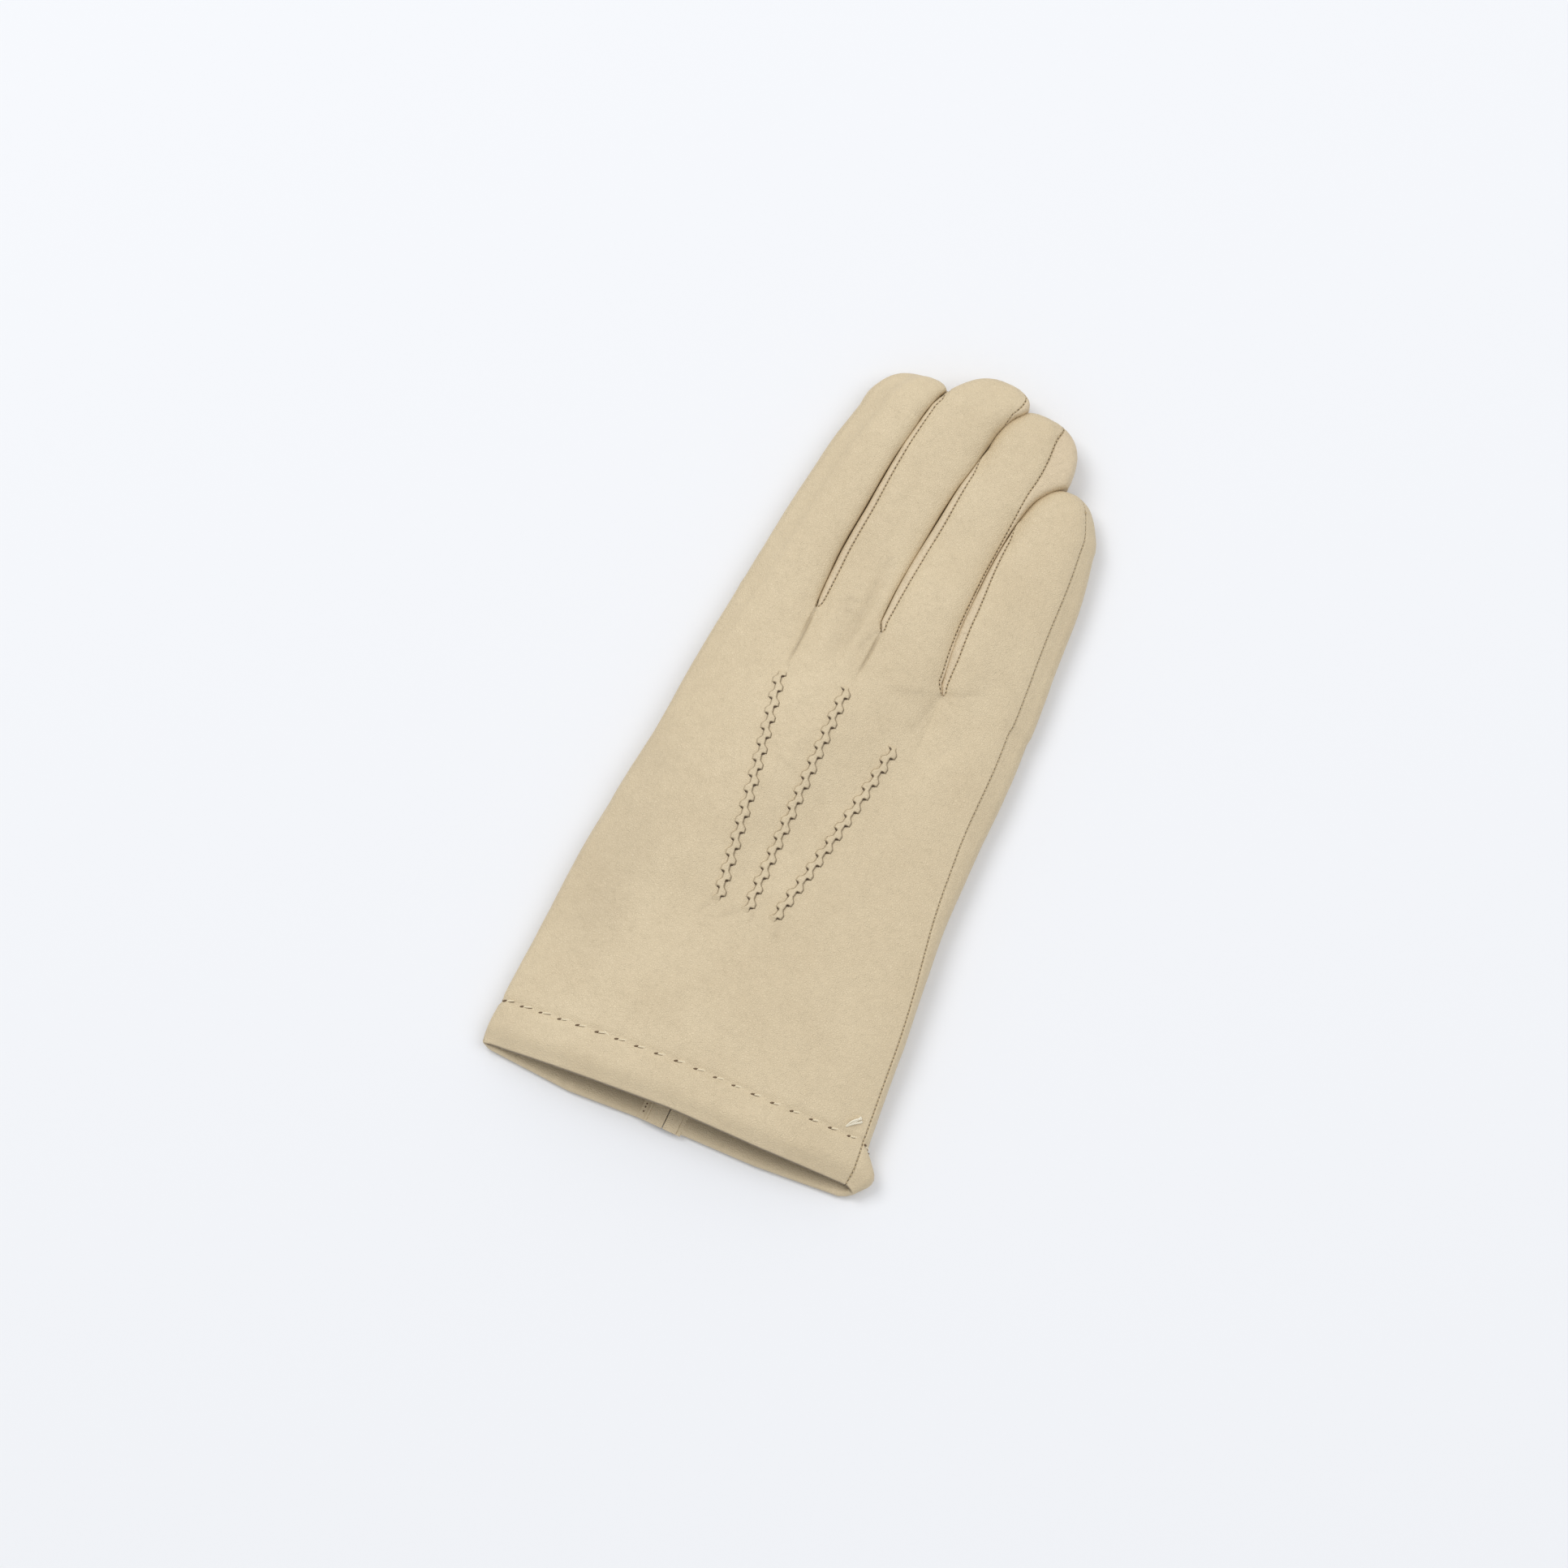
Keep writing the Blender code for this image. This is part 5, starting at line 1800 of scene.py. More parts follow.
def add_object(name: str, data: ID) -> Object:
    """Put a new object in the scene.

    Args:
        name: its name.
        data: what it shows.

    Returns:
        The object.
    """
    thing = bpy.data.objects.new(name, data)
    bpy.context.scene.collection.objects.link(thing)
    return thing


def to_object(name: str, mesh: BMesh, finishes: Sequence[Material]) -> Object:
    """Make an object of a mesh, which is freed.

    Args:
        name: its name.
        mesh: its mesh.
        finishes: its materials in order.

    Returns:
        The object.
    """
    data = bpy.data.meshes.new(name)
    mesh.to_mesh(data)
    mesh.free()
    for finish in finishes:
        data.materials.append(finish)
    return add_object(name, data)


def make_piece(name: str, mesh: BMesh, finishes: Sequence[Material],
               replaced: Sequence[str] = ()) -> None:
    """Turn a finished mesh in the glove's millimetres into a piece of the frame.

    Args:
        name: the piece's name.
        mesh: its mesh, which is freed.
        finishes: its materials in order.
        replaced: the CAD nodes that it stands for.
    """
    for vertex in mesh.verts:
        vertex.co.z = max(vertex.co.z, 0.0)
        vertex.co = PLACE(vertex.co)
    piece = to_object(name, mesh, finishes)
    piece.data.shade_smooth()
    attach(piece, ROOT_BODY)
    if replaced:
        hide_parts(*replaced)
    log.info("%s: %d faces", name, len(piece.data.polygons))


class Slot(Enum):
    """The record's material slots."""

    HIDE = "nappa_leather"
    TRIM = "nappa_trim"


@dataclass
class OnSkin:
    """What every sub-assembly that follows the leather knows."""

    skin: Skin
    finishes: Wardrobe


@dataclass
class Trank(OnSkin):
    """The one piece of leather that forms the back and the palm, with its cashmere lining."""

    def build(self) -> None:
        """Make the hide's wall."""
        wall = self.skin.shell({Label.BACK.value, Label.PALM.value})
        make_piece("trank_hide", wall, (self.finishes.hide, self.finishes.knit),
                   ("trank_back", "trank_palm"))


@dataclass
class Forks(OnSkin):
    """The three forked strips between the fingers."""

    def build(self) -> None:
        """Make each strip's wall."""
        for lane, (left, right) in enumerate(zip(FINGERS, FINGERS[1:])):
            wall = self.skin.shell({Label.FORK.value + lane})
            pair = f"{left.name}_{right.name}"
            make_piece(f"fork_strip_{pair}", wall, (self.finishes.trim, self.finishes.knit),
                       (f"fourchette_{pair}",))


@dataclass
class Thumb:
    """The hollow thumb, folded flat under the palm."""

    finishes: Wardrobe
    bluntness: float = 0.9
    depth_bluntness: float = 0.7
    side_power: float = 0.85
    seam_turn: float = 0.42
    top_power: float = 0.75
    under_power: float = 0.45
    ends: int = 12
    rows: int = 70
    columns: int = 57
    lumps: tuple[Lumps, ...] = (Lumps(0.22, 12.0, 5.0), Lumps(0.08, 5.0, 9.0))
    seam_span: Pair = (0.42, 1.75)
    seam_steps: int = 300
    seam_lean: float = 0.8
    hole_steps: int = 80
    hole: tuple[Pair, ...] = ((-25.0, 61.0), (-50.0, 49.0), (-51.0, 108.0), (-31.0, 133.0))

    def seams(self, skin: Skin) -> list[Seam]:
        """The seam round the thumb's hole in the palm, and the one along the thumb.

        Args:
            skin: the leather over it.

        Returns:
            Both seams.
        """
        turns = np.linspace(0.0, 1.0, self.hole_steps)[:, None]
        hole = along_line(bezier([np.array((*spot, 0.0)) for spot in self.hole], turns), SEAM_SAMPLE)
        at = np.linspace(*self.seam_span, self.seam_steps)
        spots = self.place(at, np.full(at.shape, math.pi + self.seam_turn))
        spots = along_line(spots, SEAM_SAMPLE)
        heading = unit(np.gradient(spots, axis=0))
        out = unit(np.cross((0.0, 0.0, 1.0), heading) - np.array((0.0, 0.0, self.seam_lean)))
        return [skin.under_palm(hole), (spots, out)]

    def place(self, station: Array, turn: Array) -> Array:
        """A place on the thumb.

        Args:
            station: from -1 to 0 round its root, to 1 along it and to 2 round its tip.
            turn: angles round it.

        Returns:
            The places.
        """
        t = np.clip(station, 0.0, 1.0)
        bend = (station - t) * math.pi / 2.0
        spot, heading = THUMB.spine(t)
        half = THUMB.width(t) * THUMB_WIDTH / 2.0
        depth = THUMB.depth(t) * THUMB_DEPTH
        cosine = np.maximum(np.cos(bend), 0.0)
        across, up = np.cos(turn), np.sin(turn)
        across = np.sign(across) * np.abs(across) ** self.side_power * half * cosine ** self.bluntness
        power = np.where(up > 0.0, self.top_power, self.under_power)
        up = np.sign(up) * np.abs(up) ** power * cosine ** self.depth_bluntness
        ahead = half * np.sin(bend)
        return places(*beside(spot, heading, ahead, across), depth * (0.5 + 0.5 * up))

    def build(self) -> None:
        """Make the thumb's wall."""
        mesh = bmesh.new()
        ends = np.sin(np.linspace(0.0, math.pi / 2.0, self.ends))
        rows = np.concatenate([-ends[:0:-1], np.linspace(0.0, 1.0, self.rows), 1.0 + ends[1:]])
        map_grid(mesh, rows, np.linspace(0.0, math.tau, self.columns), self.place)
        close_mesh(mesh)
        mesh.normal_update()
        spots = np.array([vertex.co for vertex in mesh.verts])
        swell = sum(rough(spots, lumps) for lumps in self.lumps)
        for vertex, fall in zip(mesh.verts, swell):
            vertex.co -= vertex.normal * fall
            vertex.co.z = max(vertex.co.z, 0.0)
        make_piece("thumb_hide", mesh, (self.finishes.hide,), ("thumb",))


@dataclass
class Quirk(OnSkin):
    """The small gusset in the crotch of the thumb."""

    across: float = -0.262
    along: float = 0.900
    length: float = 14.0
    width: float = 9.0
    wall: float = 1.1
    seat: float = 0.7
    pointedness: float = 0.08
    rings: int = 7
    turns: int = 41
    seam_ring: float = 0.9
    seam_steps: int = 60

    def place(self, ring: Array, turn: Array) -> Array:
        """A place on the gusset's upper face.

        Args:
            ring: from 0 at its middle to 1 at its edge.
            turn: angles round it.

        Returns:
            The places.
        """
        centre = np.array((self.across * PALM_WIDTH, self.along * PALM_LENGTH))
        heading = THUMB.spine(np.array(0.5))[1]
        reach = (1.0 + self.pointedness * np.cos(4.0 * turn)) * ring
        ahead = np.cos(turn) * self.length / 2.0 * reach
        aside = np.sin(turn) * self.width / 2.0 * reach
        return laid(*beside(centre, heading, ahead, aside), self.height)

    def height(self, x: float, y: float) -> float:
        """The height of the gusset's upper face, and never so low that it meets the floor."""
        return max(self.skin.on_palm(x, y) - self.seat, self.wall)

    def seam(self) -> Seam:
        """The stitches round the gusset.

        Returns:
            The seam.
        """
        turns = np.linspace(0.0, math.tau, self.seam_steps)
        line = self.place(np.full(self.seam_steps, self.seam_ring), turns)
        line = along_line(line - (0.0, 0.0, self.wall), SEAM_SAMPLE)
        return line, upright(line, -1.0)

    def build(self) -> None:
        """Make the gusset under the palm's leather."""
        mesh = bmesh.new()
        map_grid(mesh, np.linspace(0.0, 1.0, self.rings), np.linspace(0.0, math.tau, self.turns), self.place)
        close_mesh(mesh)
        thicken(mesh, self.wall)
        make_piece("quirk_hide", mesh, (self.finishes.hide,), ("quirk",))


class LobeSide(NamedTuple):
    """One side of a tuck: its direction, its phase, and the painted shade of its lobes' and its ridge's
    outlines and of its pits.
    """

    way: float
    offset: float
    lobe_line: float
    ridge_line: float
    pit_shade: float


@dataclass
class WhippedPoints(OnSkin):
    """The three raised tucks of the back, whipped over with stitches that pinch them into lobes."""

    half_width: float = 2.6
    cell: float = 0.2
    ridge_half: float = 0.64
    ridge_height: float = 0.78
    lobe_reach: float = 1.85
    lobe_height: float = 0.74
    skirt: float = 0.22
    sunk: float = 0.5
    outline: float = 0.2
    pit_place: float = 1.1
    pit_length: float = 0.36
    pit_width: float = 0.55
    pit_lean: float = 0.12
    pit_power: int = 4
    lobe_power: float = 4.5
    lobe_grows: Pair = (0.03, 0.06)
    lobe_fades: Pair = (0.34, 0.34)
    shoulder: float = 0.5
    outline_gap: float = 0.05
    web: float = 0.04
    crest: float = 0.03
    end_fades: Pair = (3.2, 2.4)
    sides: tuple[LobeSide, ...] = (LobeSide(-1.0, 0.0, 0.34, 0.55, 1.2), LobeSide(1.0, 0.5, 0.8, 0.7, 1.8))

    def path(self, tuck: Tuck, share: Array) -> Array:
        """The tuck's centre line seen from above.

        Args:
            tuck: the tuck.
            share: from 0 at its wrist end to 1.

        Returns:
            The places.
        """
        across = mix(tuck.wrist_across, tuck.finger_across, share) + tuck.bend * np.sin(np.pi * share)
        along = mix(tuck.wrist_along, tuck.finger_along, share)
        return np.stack([across * PALM_WIDTH, along * PALM_LENGTH], axis=-1)

    def lobe(self, phase: Array) -> Array:
        """How far a lobe has grown at a phase between two stitches; its lower end is blunt."""
        phase = np.mod(phase, 1.0)
        return eased(phase, *self.lobe_grows) * (1.0 - eased(phase, *self.lobe_fades))

    def build(self) -> None:
        """Make each tuck as a strip that rises out of the back."""
        for tuck in TUCKS:
            self.build_tuck(tuck)

    def build_tuck(self, tuck: Tuck) -> None:
        """Make one tuck.

        Args:
            tuck: the tuck.
        """
        length = float(np.linalg.norm(np.diff(self.path(tuck, np.array([0.0, 1.0])), axis=0)))
        rows = np.linspace(0.0, 1.0, round(length / self.cell) + 1)
        across = round(2 * self.half_width / self.cell) + 1
        columns = np.linspace(-self.half_width, self.half_width, across)
        line = self.path(tuck, rows)
        heading = unit(np.gradient(line, axis=0))
        shades = np.zeros((len(rows), len(columns)))

        def form(share: Array, aside: Array) -> Array:
            """The tuck's face over the leather of the back; its painted shades are kept.

            Args:
                share: shares along the tuck.
                aside: places across it, in mm.

            Returns:
                The places.
            """
            height, shades[:] = self.profile(share * length, aside, length)
            x, y = beside(line[:, None], heading[:, None], 0.0, aside)
            return laid(x, y, self.skin.drop) + places(0.0, 0.0, height)

        mesh = bmesh.new()
        # The tuck's painted shade, which the leather's finish reads.
        shade = mesh.verts.layers.float.new("shade")
        made, cells = map_grid(mesh, rows, columns, form)
        for vertex, (i, j) in zip(made, cells):
            vertex[shade] = shades[i, j]
        thicken(mesh, TRANK_WALL)
        make_piece(f"whipped_point_{tuck.name}", mesh, (self.finishes.hide,),
                   (f"point_{tuck.name}",))

    def profile(self, run: Array, aside: Array, length: float) -> tuple[Array, Array]:
        """The tuck's height over the leather, and its painted shade.

        Args:
            run: places along the tuck, in mm from its wrist end.
            aside: places across it, in mm.
            length: the tuck's length.

        Returns:
            Heights in mm and shares of painted shade.
        """
        phase = run / POINT_PITCH
        height = np.zeros(np.shape(run))
        shade = np.zeros(np.shape(run))
        for side in self.sides:
            away = aside * side.way
            grown = self.lobe(phase + side.offset)
            edge = mix(self.ridge_half, self.lobe_reach, grown)
            top = mix(self.ridge_height, self.lobe_height, eased(away, self.ridge_half, self.shoulder))
            raised = top * np.sqrt(crown(away / edge, self.lobe_power)) + self.web
            beyond = np.clip((away - edge - self.skirt) / self.skirt, 0.0, 1.0)
            # Painted shade: a dark outline where the raised tuck meets the back, and dark shade in the pit
            # at each stitch.
            dark = mix(side.ridge_line, side.lobe_line, grown)
            line = bell(away - edge - self.outline_gap, self.outline) * dark
            turn = np.mod(phase + side.offset + 0.5, 1.0) - 0.5
            leaning = turn * POINT_PITCH - self.pit_lean * away
            pit = np.exp(-(leaning / self.pit_length) ** self.pit_power)
            pit = pit * np.exp(-((away - self.pit_place) / self.pit_width) ** self.pit_power)
            mine = away > 0.0
            height = np.where(mine, mix(raised - beyond * self.sunk, self.web, pit), height)
            shade = np.where(mine, line + pit * side.pit_shade, shade)
        height = np.where(np.abs(aside) < self.cell / 2.0, self.ridge_height + self.crest, height)
        starting, ending = self.end_fades
        ends = smooth(run / starting) * smooth((length - run) / ending)
        return mix(-self.skirt, height, ends), np.clip(shade * np.sqrt(ends), 0.0, 1.0)


@dataclass(frozen=True)
class StitchGauge:
    """One kind of stitch, in mm: how long, how far apart, how thick and how deep it lies."""

    length: float
    pitch: float
    radius: float
    sink: float
    arch: float = 0.0
    slant: float = 0.0
    flat: float = 1.0
    sides: int = 6
    rings: int = 4


class StitchRow:
    """Stitches of one gauge, collected in one mesh."""

    def __init__(self, gauge: StitchGauge) -> None:
        """Shape one stitch, to be copied.

        Args:
            gauge: the kind of stitch.
        """
        self.gauge = gauge
        self.mesh = bmesh.new()
        size = Matrix.Diagonal((gauge.radius, gauge.radius * gauge.flat, gauge.length / 2.0, 1.0))
        shape = bmesh.new()
        bmesh.ops.create_uvsphere(
            shape, u_segments=gauge.sides, v_segments=gauge.rings, radius=1.0, matrix=size)
        for vertex in shape.verts:
            vertex.co.y -= gauge.sink + gauge.arch * (2.0 * vertex.co.z / gauge.length) ** 2
        self.shape = bpy.data.meshes.new("stitch")
        shape.to_mesh(self.shape)
        shape.free()

    def add(self, spot: Vector, way: Vector, up: Vector) -> None:
        """Lay a stitch.

        Args:
            spot: the place on the leather under its middle.
            way: the line that it follows.
            up: the way out of the leather.
        """
        up = up.normalized()
        way = (Matrix.Rotation(self.gauge.slant, 3, up) @ (way - up * way.dot(up))).normalized()
        turn = Matrix((up.cross(way), up, way)).transposed().to_4x4()
        turn.translation = spot
        stitch = self.shape.copy()
        stitch.transform(turn)
        self.mesh.from_mesh(stitch)
        bpy.data.meshes.remove(stitch)


@dataclass
class MachineSewing(OnSkin):
    """The lockstitch in every seam, and the knot at the end of the outseam."""

    gauge: StitchGauge = StitchGauge(0.85, MACHINE_PITCH, 0.2, 0.18)
    # A dark sliver of painted shade in each needle hole of the extra seams.
    hole: StitchGauge = StitchGauge(0.62, MACHINE_PITCH, 0.27, 0.04)
    knot_near: Pair = (34.4, 214.6)
    knot_turns: tuple[float, ...] = (-1.1, 0.2, 1.2)
    knot_lift: float = 0.3

    def build(self, more: Sequence[Seam]) -> None:
        """Lay a stitch at each pitch of every seam, and the knot.

        Args:
            more: seams besides those of the hand and fingers; these also get a dark piece of painted shade
                in each needle hole.
        """
        row, holes = StitchRow(self.gauge), StitchRow(self.hole)
        seams = [self.skin.seat(line) for line in self.skin.lines.values()]
        for number, (seats, ups) in enumerate((*seams, *more)):
            ways = unit(np.gradient(seats, axis=0))
            for at in np.arange(0.0, len(seats) - 1.0, self.gauge.pitch / SEAM_SAMPLE):
                seat, way, up = (Vector(values[round(at)]) for values in (seats, ways, ups))
                row.add(seat, way, up)
                if number >= len(seams):
                    holes.add(seat + way * self.gauge.pitch / 2.0, way, up)
        seats, ups = self.skin.seat(self.skin.lines["outseam"])
        at = int(np.argmin(np.hypot(*(seats[:, :2] - self.knot_near).T)))
        for turn in self.knot_turns:
            way = Matrix.Rotation(turn, 3, "Z") @ Vector(seats[at + 1] - seats[at])
            row.add(Vector(seats[at] + ups[at] * self.knot_lift), way, Vector(ups[at]))
        make_piece("machine_stitches", row.mesh, (self.finishes.seam_thread,))
        # The dark slivers are painted shade in the needle holes.
        make_piece("seam_needle_holes", holes.mesh, (self.finishes.hole,))


HEM_STEPS = 40
HEM_SIDE_STEPS = 30


def hem_loop() -> Array:
    """The hem's stitch line round the cuff.

    Returns:
        Its places: back, little finger's side, palm and index side.
    """
    shares = np.linspace(-1.0, 1.0, HEM_STEPS)

    def row(lines: tuple[int, int], edges: tuple[str, str], t: Array) -> Array:
        """The rows of the line, a share of the way between two dividing lines."""
        spans = [LANES[line].crotch - getattr(LANES[line], edge) for line, edge in zip(lines, edges)]
        return HEM_DEPTH / (PALM_LENGTH * mix(spans[0], spans[1], t))

    back, palm = [], []
    for lane in range(len(FINGERS)):
        t = (shares + 1.0) / 2.0
        ends = (lane, lane + 1)
        back.append(HAND.back(row(ends, ("back_edge",) * 2, t), lane, shares))
        palm.append(HAND.palm(row(ends, ("palm_edge",) * 2, t), lane, shares))
    t = np.linspace(0.0, 1.0, HEM_SIDE_STEPS)
    kinds = ("back_edge", "palm_edge")
    last = len(FINGERS)
    little = HAND.side(row((last, last), kinds, t), Side.LITTLE, t)
    index = HAND.side(row((0, 0), kinds, t), Side.INDEX, t)
    loop = np.concatenate([*back, little, *[part[::-1] for part in palm[::-1]], index[::-1]])
    return along_line(loop, SEAM_SAMPLE)


@dataclass
class HemSewing(OnSkin):
    """The hand-sewn hem: long slanting stitches with painted shade in their needle holes and along their
    lower sides, and a loose thread end.
    """

    gauge: StitchGauge = StitchGauge(3.7, HEM_PITCH, 0.34, 0.0, 0.2, math.radians(13.0), 0.6, 8, 8)
    # Dark pieces of painted shade: one in each needle hole and a thin one along each stitch's lower side.
    hole: StitchGauge = StitchGauge(1.75, HEM_PITCH, 0.36, 0.1, 0.0, math.radians(20.0), 0.7)
    crack: StitchGauge = StitchGauge(3.4, HEM_PITCH, 0.17, 0.04, 0.12, math.radians(13.0), 0.7, 8, 8)
    crack_aside: float = 0.33
    steepest: float = 0.2
    doubled: float = -31.0
    doubled_ahead: float = 1.2
    doubled_turn: float = -0.7
    first: float = 2.4
    hole_back: float = 1.6
    tail_place: Pair = (47.7, 15.0)
    tail_ends: tuple[tuple[float, ...], ...] = ((50.9, 20.0, 0.5), (51.8, 18.7, 0.4), (51.3, 19.4, 0.8))
    tail_radius: float = 0.32
    tail_taper: Pair = (0.7, 0.6)
    tail_bow: Pair = (0.35, 0.5)
    tail_lean: float = 0.6
    tail_lift: float = 0.12

    def build(self) -> None:
        """Lay the hem's stitches, the painted shade at their holes and under them, then the thread end."""
        line = hem_loop()
        seats, ups = self.skin.seat(line)
        ways = unit(np.gradient(line, axis=0))
        stitches, holes, stitch_shadows = (StitchRow(gauge) for gauge in (self.gauge, self.hole, self.crack))
        whole = len(line) - 1
        count = round(whole * SEAM_SAMPLE / self.gauge.pitch)
        runs = np.round(self.first / SEAM_SAMPLE + np.arange(count) * whole / count).astype(int)
        for run in runs % whole:
            seat, way, up = (Vector(values[run]) for values in (seats, ways, ups))
            if abs(up.z) < self.steepest:
                continue
            spot = self.skin.surface.find_nearest(seat)[0]
            stitches.add(spot, way, up)
            turned = Matrix.Rotation(self.gauge.slant, 3, up) @ way
            holes.add(spot - turned * self.hole_back, way, up)
            stitch_shadows.add(spot + turned.cross(up) * self.crack_aside, way, up)
            if up.z > 0.0 and abs(spot.x - self.doubled) < self.gauge.pitch / 2.0:
                crossed = Matrix.Rotation(self.doubled_turn, 3, up) @ way
                stitches.add(spot + turned * self.doubled_ahead, crossed, up)
        make_piece("hem_stitches", stitches.mesh, (self.finishes.hem_thread,))
        # The needle holes' and the stitches' painted shade.
        for name, row in (("hem_needle_holes", holes), ("hem_stitch_hollows", stitch_shadows)):
            make_piece(name, row.mesh, (self.finishes.hole,))
        self.build_tail()

    def build_tail(self) -> None:
        """The end of the hem's thread, parted into its strands."""
        mesh = bmesh.new()
        x, y = self.tail_place
        for number, (end_x, end_y, rise) in enumerate(self.tail_ends):
            share = np.linspace(0.0, 1.0, 16)
            bow = np.sin(np.pi * share) * (self.tail_bow[0] - self.tail_bow[1] * number) * self.tail_lean
            path = laid(mix(x, end_x, share) + bow, mix(y, end_y, share) - bow, self.skin.drop)
            path[:, 2] += self.tail_lift
            path[:, 2] += rise * np.sin(np.pi * share) ** 2
            add_tube(mesh, path, self.tail_radius * (self.tail_taper[0] + self.tail_taper[1] * share), 6)
        bmesh.ops.recalc_face_normals(mesh, faces=mesh.faces[:])
        make_piece("hem_thread_end", mesh, (self.finishes.loose_thread,))


class FacingFold(NamedTuple):
    """A layer of a facing in mm: its near and far edge from the slit, and its thickness."""

    near: float
    far: float
    thick: float


class Facing(NamedTuple):
    """A facing: its side of the slit, its direction from it and its layers."""

    name: str
    way: float
    folds: tuple[FacingFold, ...]


@dataclass
class Vent:
    """The bound slit in the palm side of the cuff, and the facings inside it."""

    finishes: Wardrobe
    across: float = -0.019
    start: float = 0.01
    facing_gap: float = 0.12
    facings: tuple[Facing, ...] = (
        Facing("left", -1.0, table(FacingFold, (0.0, 8.1, 0.55), (0.0, 5.2, 1.0), (5.1, 5.9, 1.2))),
        Facing("right", 1.0, table(FacingFold, (0.0, 5.8, 0.55), (0.0, 4.4, 1.0))),
    )
    fold_round: float = 0.24
    roll_step: float = 0.5
    roll_sides: int = 14
    lumps: Lumps = Lumps(0.1, 3.0, 1.0)
    row_gaps: tuple[float, ...] = (0.7, 5.2)
    row_start: float = 1.8
    fold_row: float = 7.0
    arc_steps: int = 24

    def mouth(self) -> float:
        """Where the binding starts at the cuff's edge."""
        return (LANES[1].palm_edge + self.start) * PALM_LENGTH

    def line(self, offset: float) -> Array:
        """A round-ended line round the slit, offset from its middle.

        Args:
            offset: how far from the slit's middle, in mm.

        Returns:
            Its places.
        """
        middle = self.across * PALM_WIDTH
        end = VENT_LENGTH + LANES[VENT_LANE].palm_edge * PALM_LENGTH
        turn = np.linspace(0.0, math.pi, self.arc_steps)
        arc = places(middle + offset * np.cos(turn), end + offset * np.sin(turn), BINDING_WIDTH / 2.0)
        first = places(middle + offset, self.mouth(), BINDING_WIDTH / 2.0)
        last = places(middle - offset, self.mouth(), BINDING_WIDTH / 2.0)
        return np.concatenate([first[None], arc, last[None]])

    def build(self) -> None:
        """Make the rolled binding and both facings."""
        mesh = bmesh.new()
        path = along_line(self.line((VENT_OPENING + BINDING_WIDTH) / 2.0), self.roll_step)
        dents = np.abs(rough(path, self.lumps))
        add_tube(mesh, path, BINDING_WIDTH / 2.0 - dents, self.roll_sides)
        bmesh.ops.recalc_face_normals(mesh, faces=mesh.faces[:])
        make_piece("vent_binding_rolled", mesh, (self.finishes.trim,), ("vent_binding",))
        for facing in self.facings:
            self.build_facing(facing)

    def seams(self, skin: Skin) -> list[Seam]:
        """The two rows of stitches round the binding, and the one along the stitched fold inside.

        Args:
            skin: the leather of the palm.

        Returns:
            The three seams.
        """
        rows = []
        for gap in self.row_gaps:
            offset = VENT_OPENING / 2.0 + BINDING_WIDTH + gap
            row = along_line(self.line(offset), SEAM_SAMPLE)
            rows.append(skin.under_palm(row[row[:, 1] > self.mouth() + self.row_start]))
        x = self.across * PALM_WIDTH - self.facing_gap - self.fold_row
        height = BINDING_WIDTH + self.facing_gap + self.facings[0].folds[0].thick
        ends = places(x, self.mouth() + np.array([self.row_start, VENT_LENGTH]), height)
        fold = along_line(ends, SEAM_SAMPLE)
        return [*rows, (fold, upright(fold, 1.0))]

    def build_facing(self, facing: Facing) -> None:
        """Make one facing of folded layers.

        Args:
            facing: the facing.
        """
        mesh = bmesh.new()
        for near, far, thick in facing.folds:
            layer = bmesh.ops.create_cube(mesh, size=1.0)["verts"]
            bmesh.ops.scale(mesh, vec=(far - near, VENT_LENGTH, thick), verts=layer)
            spot = (
                self.across * PALM_WIDTH + facing.way * (self.facing_gap + (near + far) / 2.0),
                self.mouth() + VENT_LENGTH / 2.0,
                BINDING_WIDTH + self.facing_gap + thick / 2.0,
            )
            bmesh.ops.translate(mesh, vec=spot, verts=layer)
        bmesh.ops.bevel(mesh, geom=mesh.edges[:], offset=self.fold_round, segments=3, profile=0.5,
                        affect="EDGES", material=-1)
        make_piece(f"facing_{facing.name}", mesh, (self.finishes.hide,),
                   (f"vent_facing_{facing.name}",))


class SoftLight(NamedTuple):
    """A square light: its place in the camera's ground directions and its side in m, and its watts."""

    name: str
    spot: tuple[float, float, float]
    side: float
    power: float


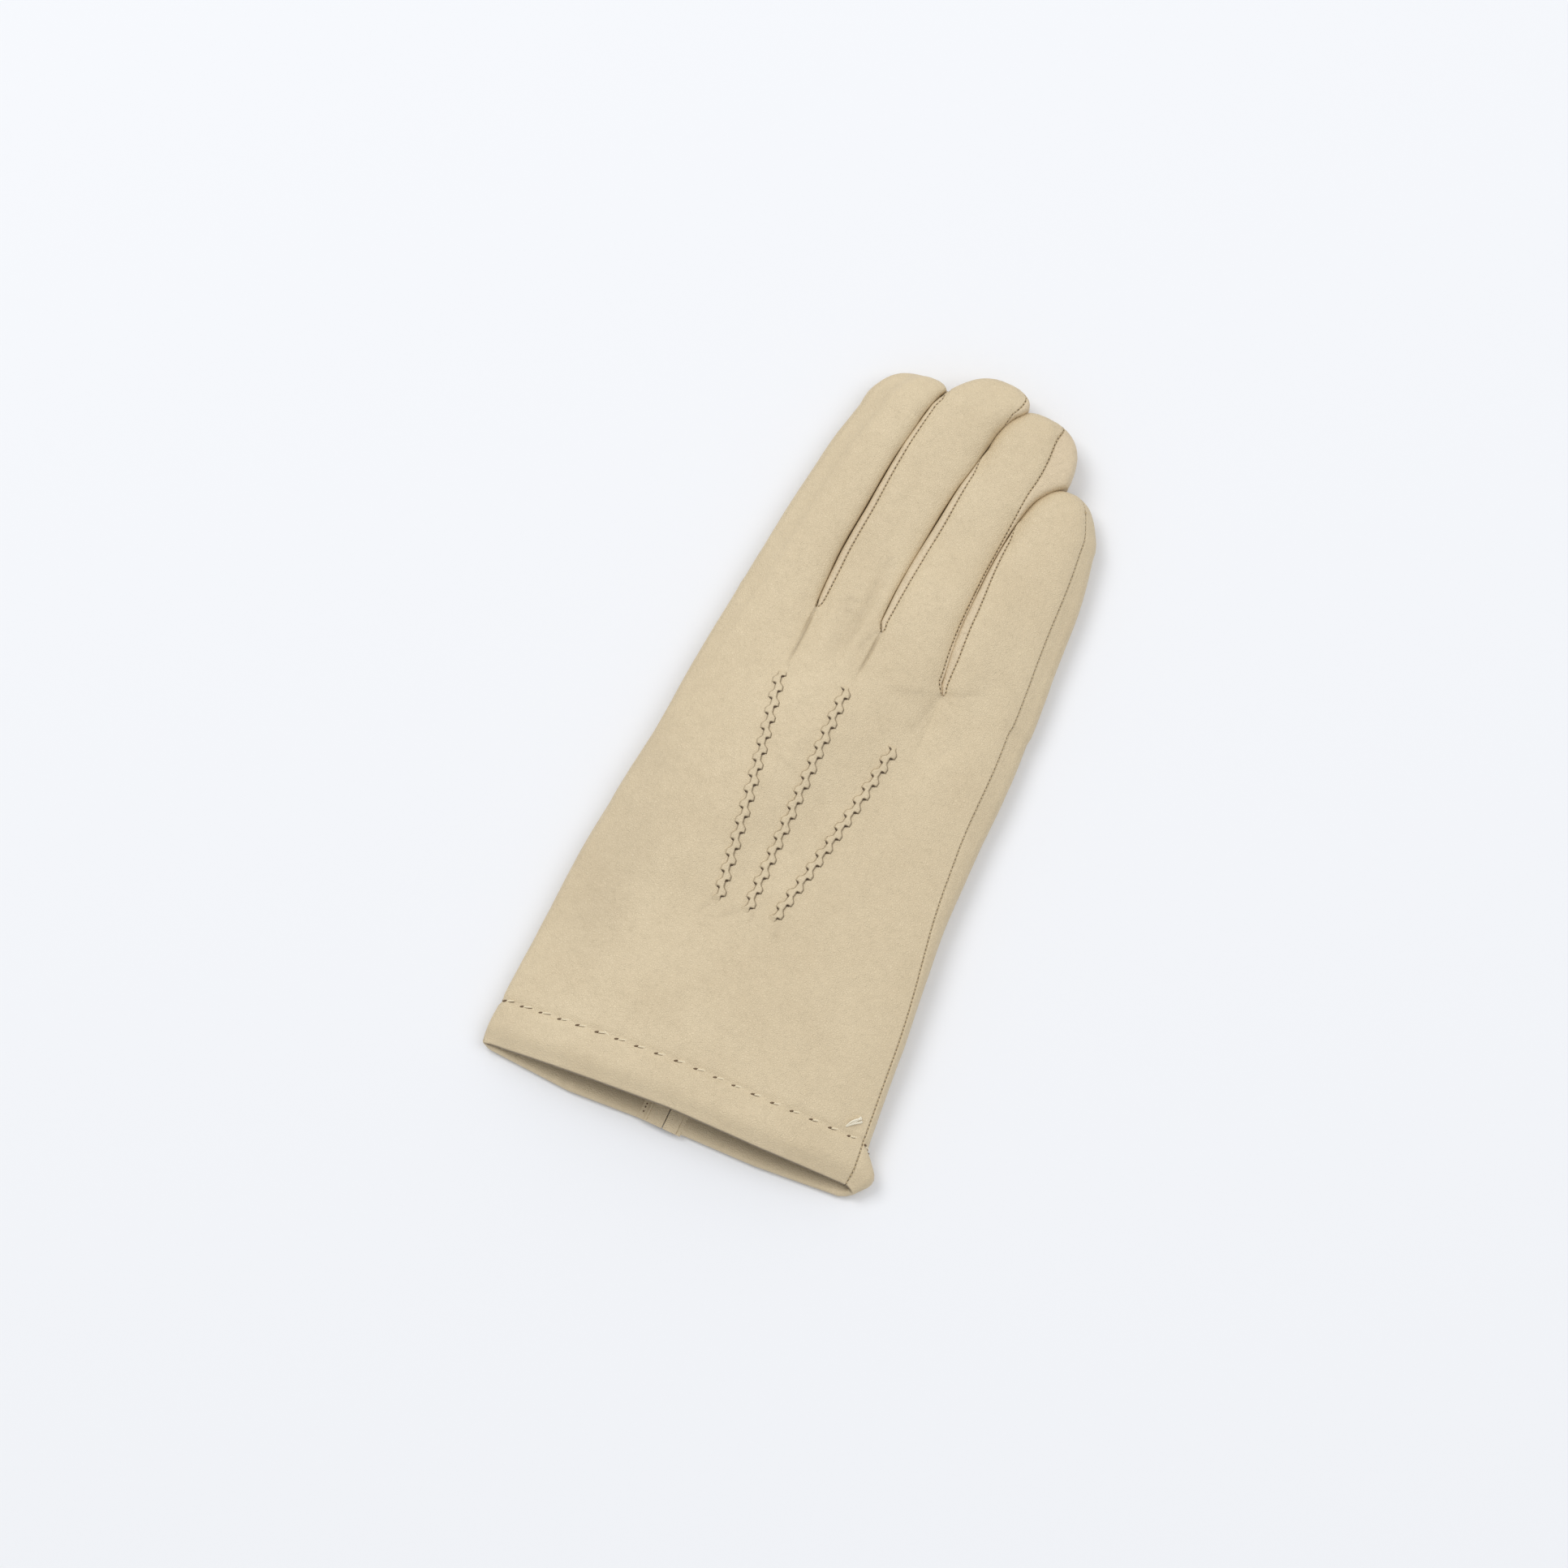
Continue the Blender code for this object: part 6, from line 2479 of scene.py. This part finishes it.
@dataclass
class Studio:
    """The pale floor, the soft lights and the camera."""

    centre: Pair = (-13.2, 102.6)
    heading: Pair = (-0.4226, 0.9063)
    elevation: float = 80.0
    view_width: float = 473.5
    distance: float = 1.6
    sensor: float = 36.0
    floor_size: float = 6.0
    floor_gap: float = 0.0002
    floor_colour: str = "#f0f1f3"
    surround: str = "#f4f6fa"
    surround_strength: float = 0.6
    lights: tuple[SoftLight, ...] = (
        SoftLight("key_light", (-1.2, 1.3, 2.5), 1.6, 36.0),
        SoftLight("fill_light", (1.5, 0.2, 2.6), 2.4, 25.0),
    )

    def build(self) -> None:
        """Set the scene."""
        self.lay_floor()
        self.add_camera()
        for light in self.lights:
            self.add_light(light)
        world = bpy.data.worlds.new("soft_surround")
        world.use_nodes = True
        backdrop = world.node_tree.nodes["Background"]
        backdrop.inputs["Color"].default_value = linear(self.surround)
        backdrop.inputs["Strength"].default_value = self.surround_strength
        bpy.context.scene.world = world
        bpy.context.scene.view_settings.view_transform = "Standard"

    def aim(self) -> Vector:
        """The place on the floor that the camera looks at."""
        return PLACE(Vector((*self.centre, 0.0)))

    def lay_floor(self) -> None:
        """A plain pale floor, just under the glove."""
        mesh = bmesh.new()
        bmesh.ops.create_grid(mesh, x_segments=1, y_segments=1, size=self.floor_size / 2.0)
        bmesh.ops.translate(mesh, vec=(0.0, 0.0, FRAME_BOX[0].z - self.floor_gap), verts=mesh.verts[:])
        finish, shader = new_finish("matte_white_paper", 0.85, 1.45)
        shader.inputs["Base Color"].default_value = linear(self.floor_colour)
        floor = to_object("floor", mesh, (finish,))

    def add_light(self, wanted: SoftLight) -> None:
        """Hang one light and aim it at the glove.

        Args:
            wanted: the light.
        """
        ahead = Vector((*self.heading, 0.0))
        right = Vector((ahead.y, -ahead.x, 0.0))
        light = bpy.data.lights.new(wanted.name, "AREA")
        light.size = wanted.side
        light.energy = wanted.power
        thing = add_object(wanted.name, light)
        aside, along, height = wanted.spot
        thing.location = self.aim() + right * aside + ahead * along + Vector((0.0, 0.0, height))
        thing.rotation_euler = (self.aim() - thing.location).to_track_quat("-Z", "Y").to_euler()

    def add_camera(self) -> None:
        """A long lens nearly overhead, turned as the glove lies in the picture."""
        data = bpy.data.cameras.new("camera")
        data.sensor_width = self.sensor
        data.lens = self.sensor * self.distance / (self.view_width * MM)
        angle = math.radians(self.elevation)
        ahead = Vector((*self.heading, 0.0)) * math.cos(angle)
        back = Vector((0.0, 0.0, math.sin(angle))) - ahead
        camera = add_object("camera", data)
        camera.location = self.aim() + back * self.distance
        camera.rotation_euler = (-back).to_track_quat("-Z", "Y").to_euler()
        bpy.context.scene.camera = camera


def main() -> None:
    """Build every piece."""
    logging.basicConfig(level=logging.INFO, format="%(message)s")
    Studio().build()
    finishes = Wardrobe()
    skin = Skin()
    Trank(skin, finishes).build()
    Forks(skin, finishes).build()
    thumb, quirk, vent = Thumb(finishes), Quirk(skin, finishes), Vent(finishes)
    for part in (thumb, quirk, vent, WhippedPoints(skin, finishes), HemSewing(skin, finishes)):
        part.build()
    MachineSewing(skin, finishes).build([*thumb.seams(skin), quirk.seam(), *vent.seams(skin)])


if __name__ == "__main__":
    main()
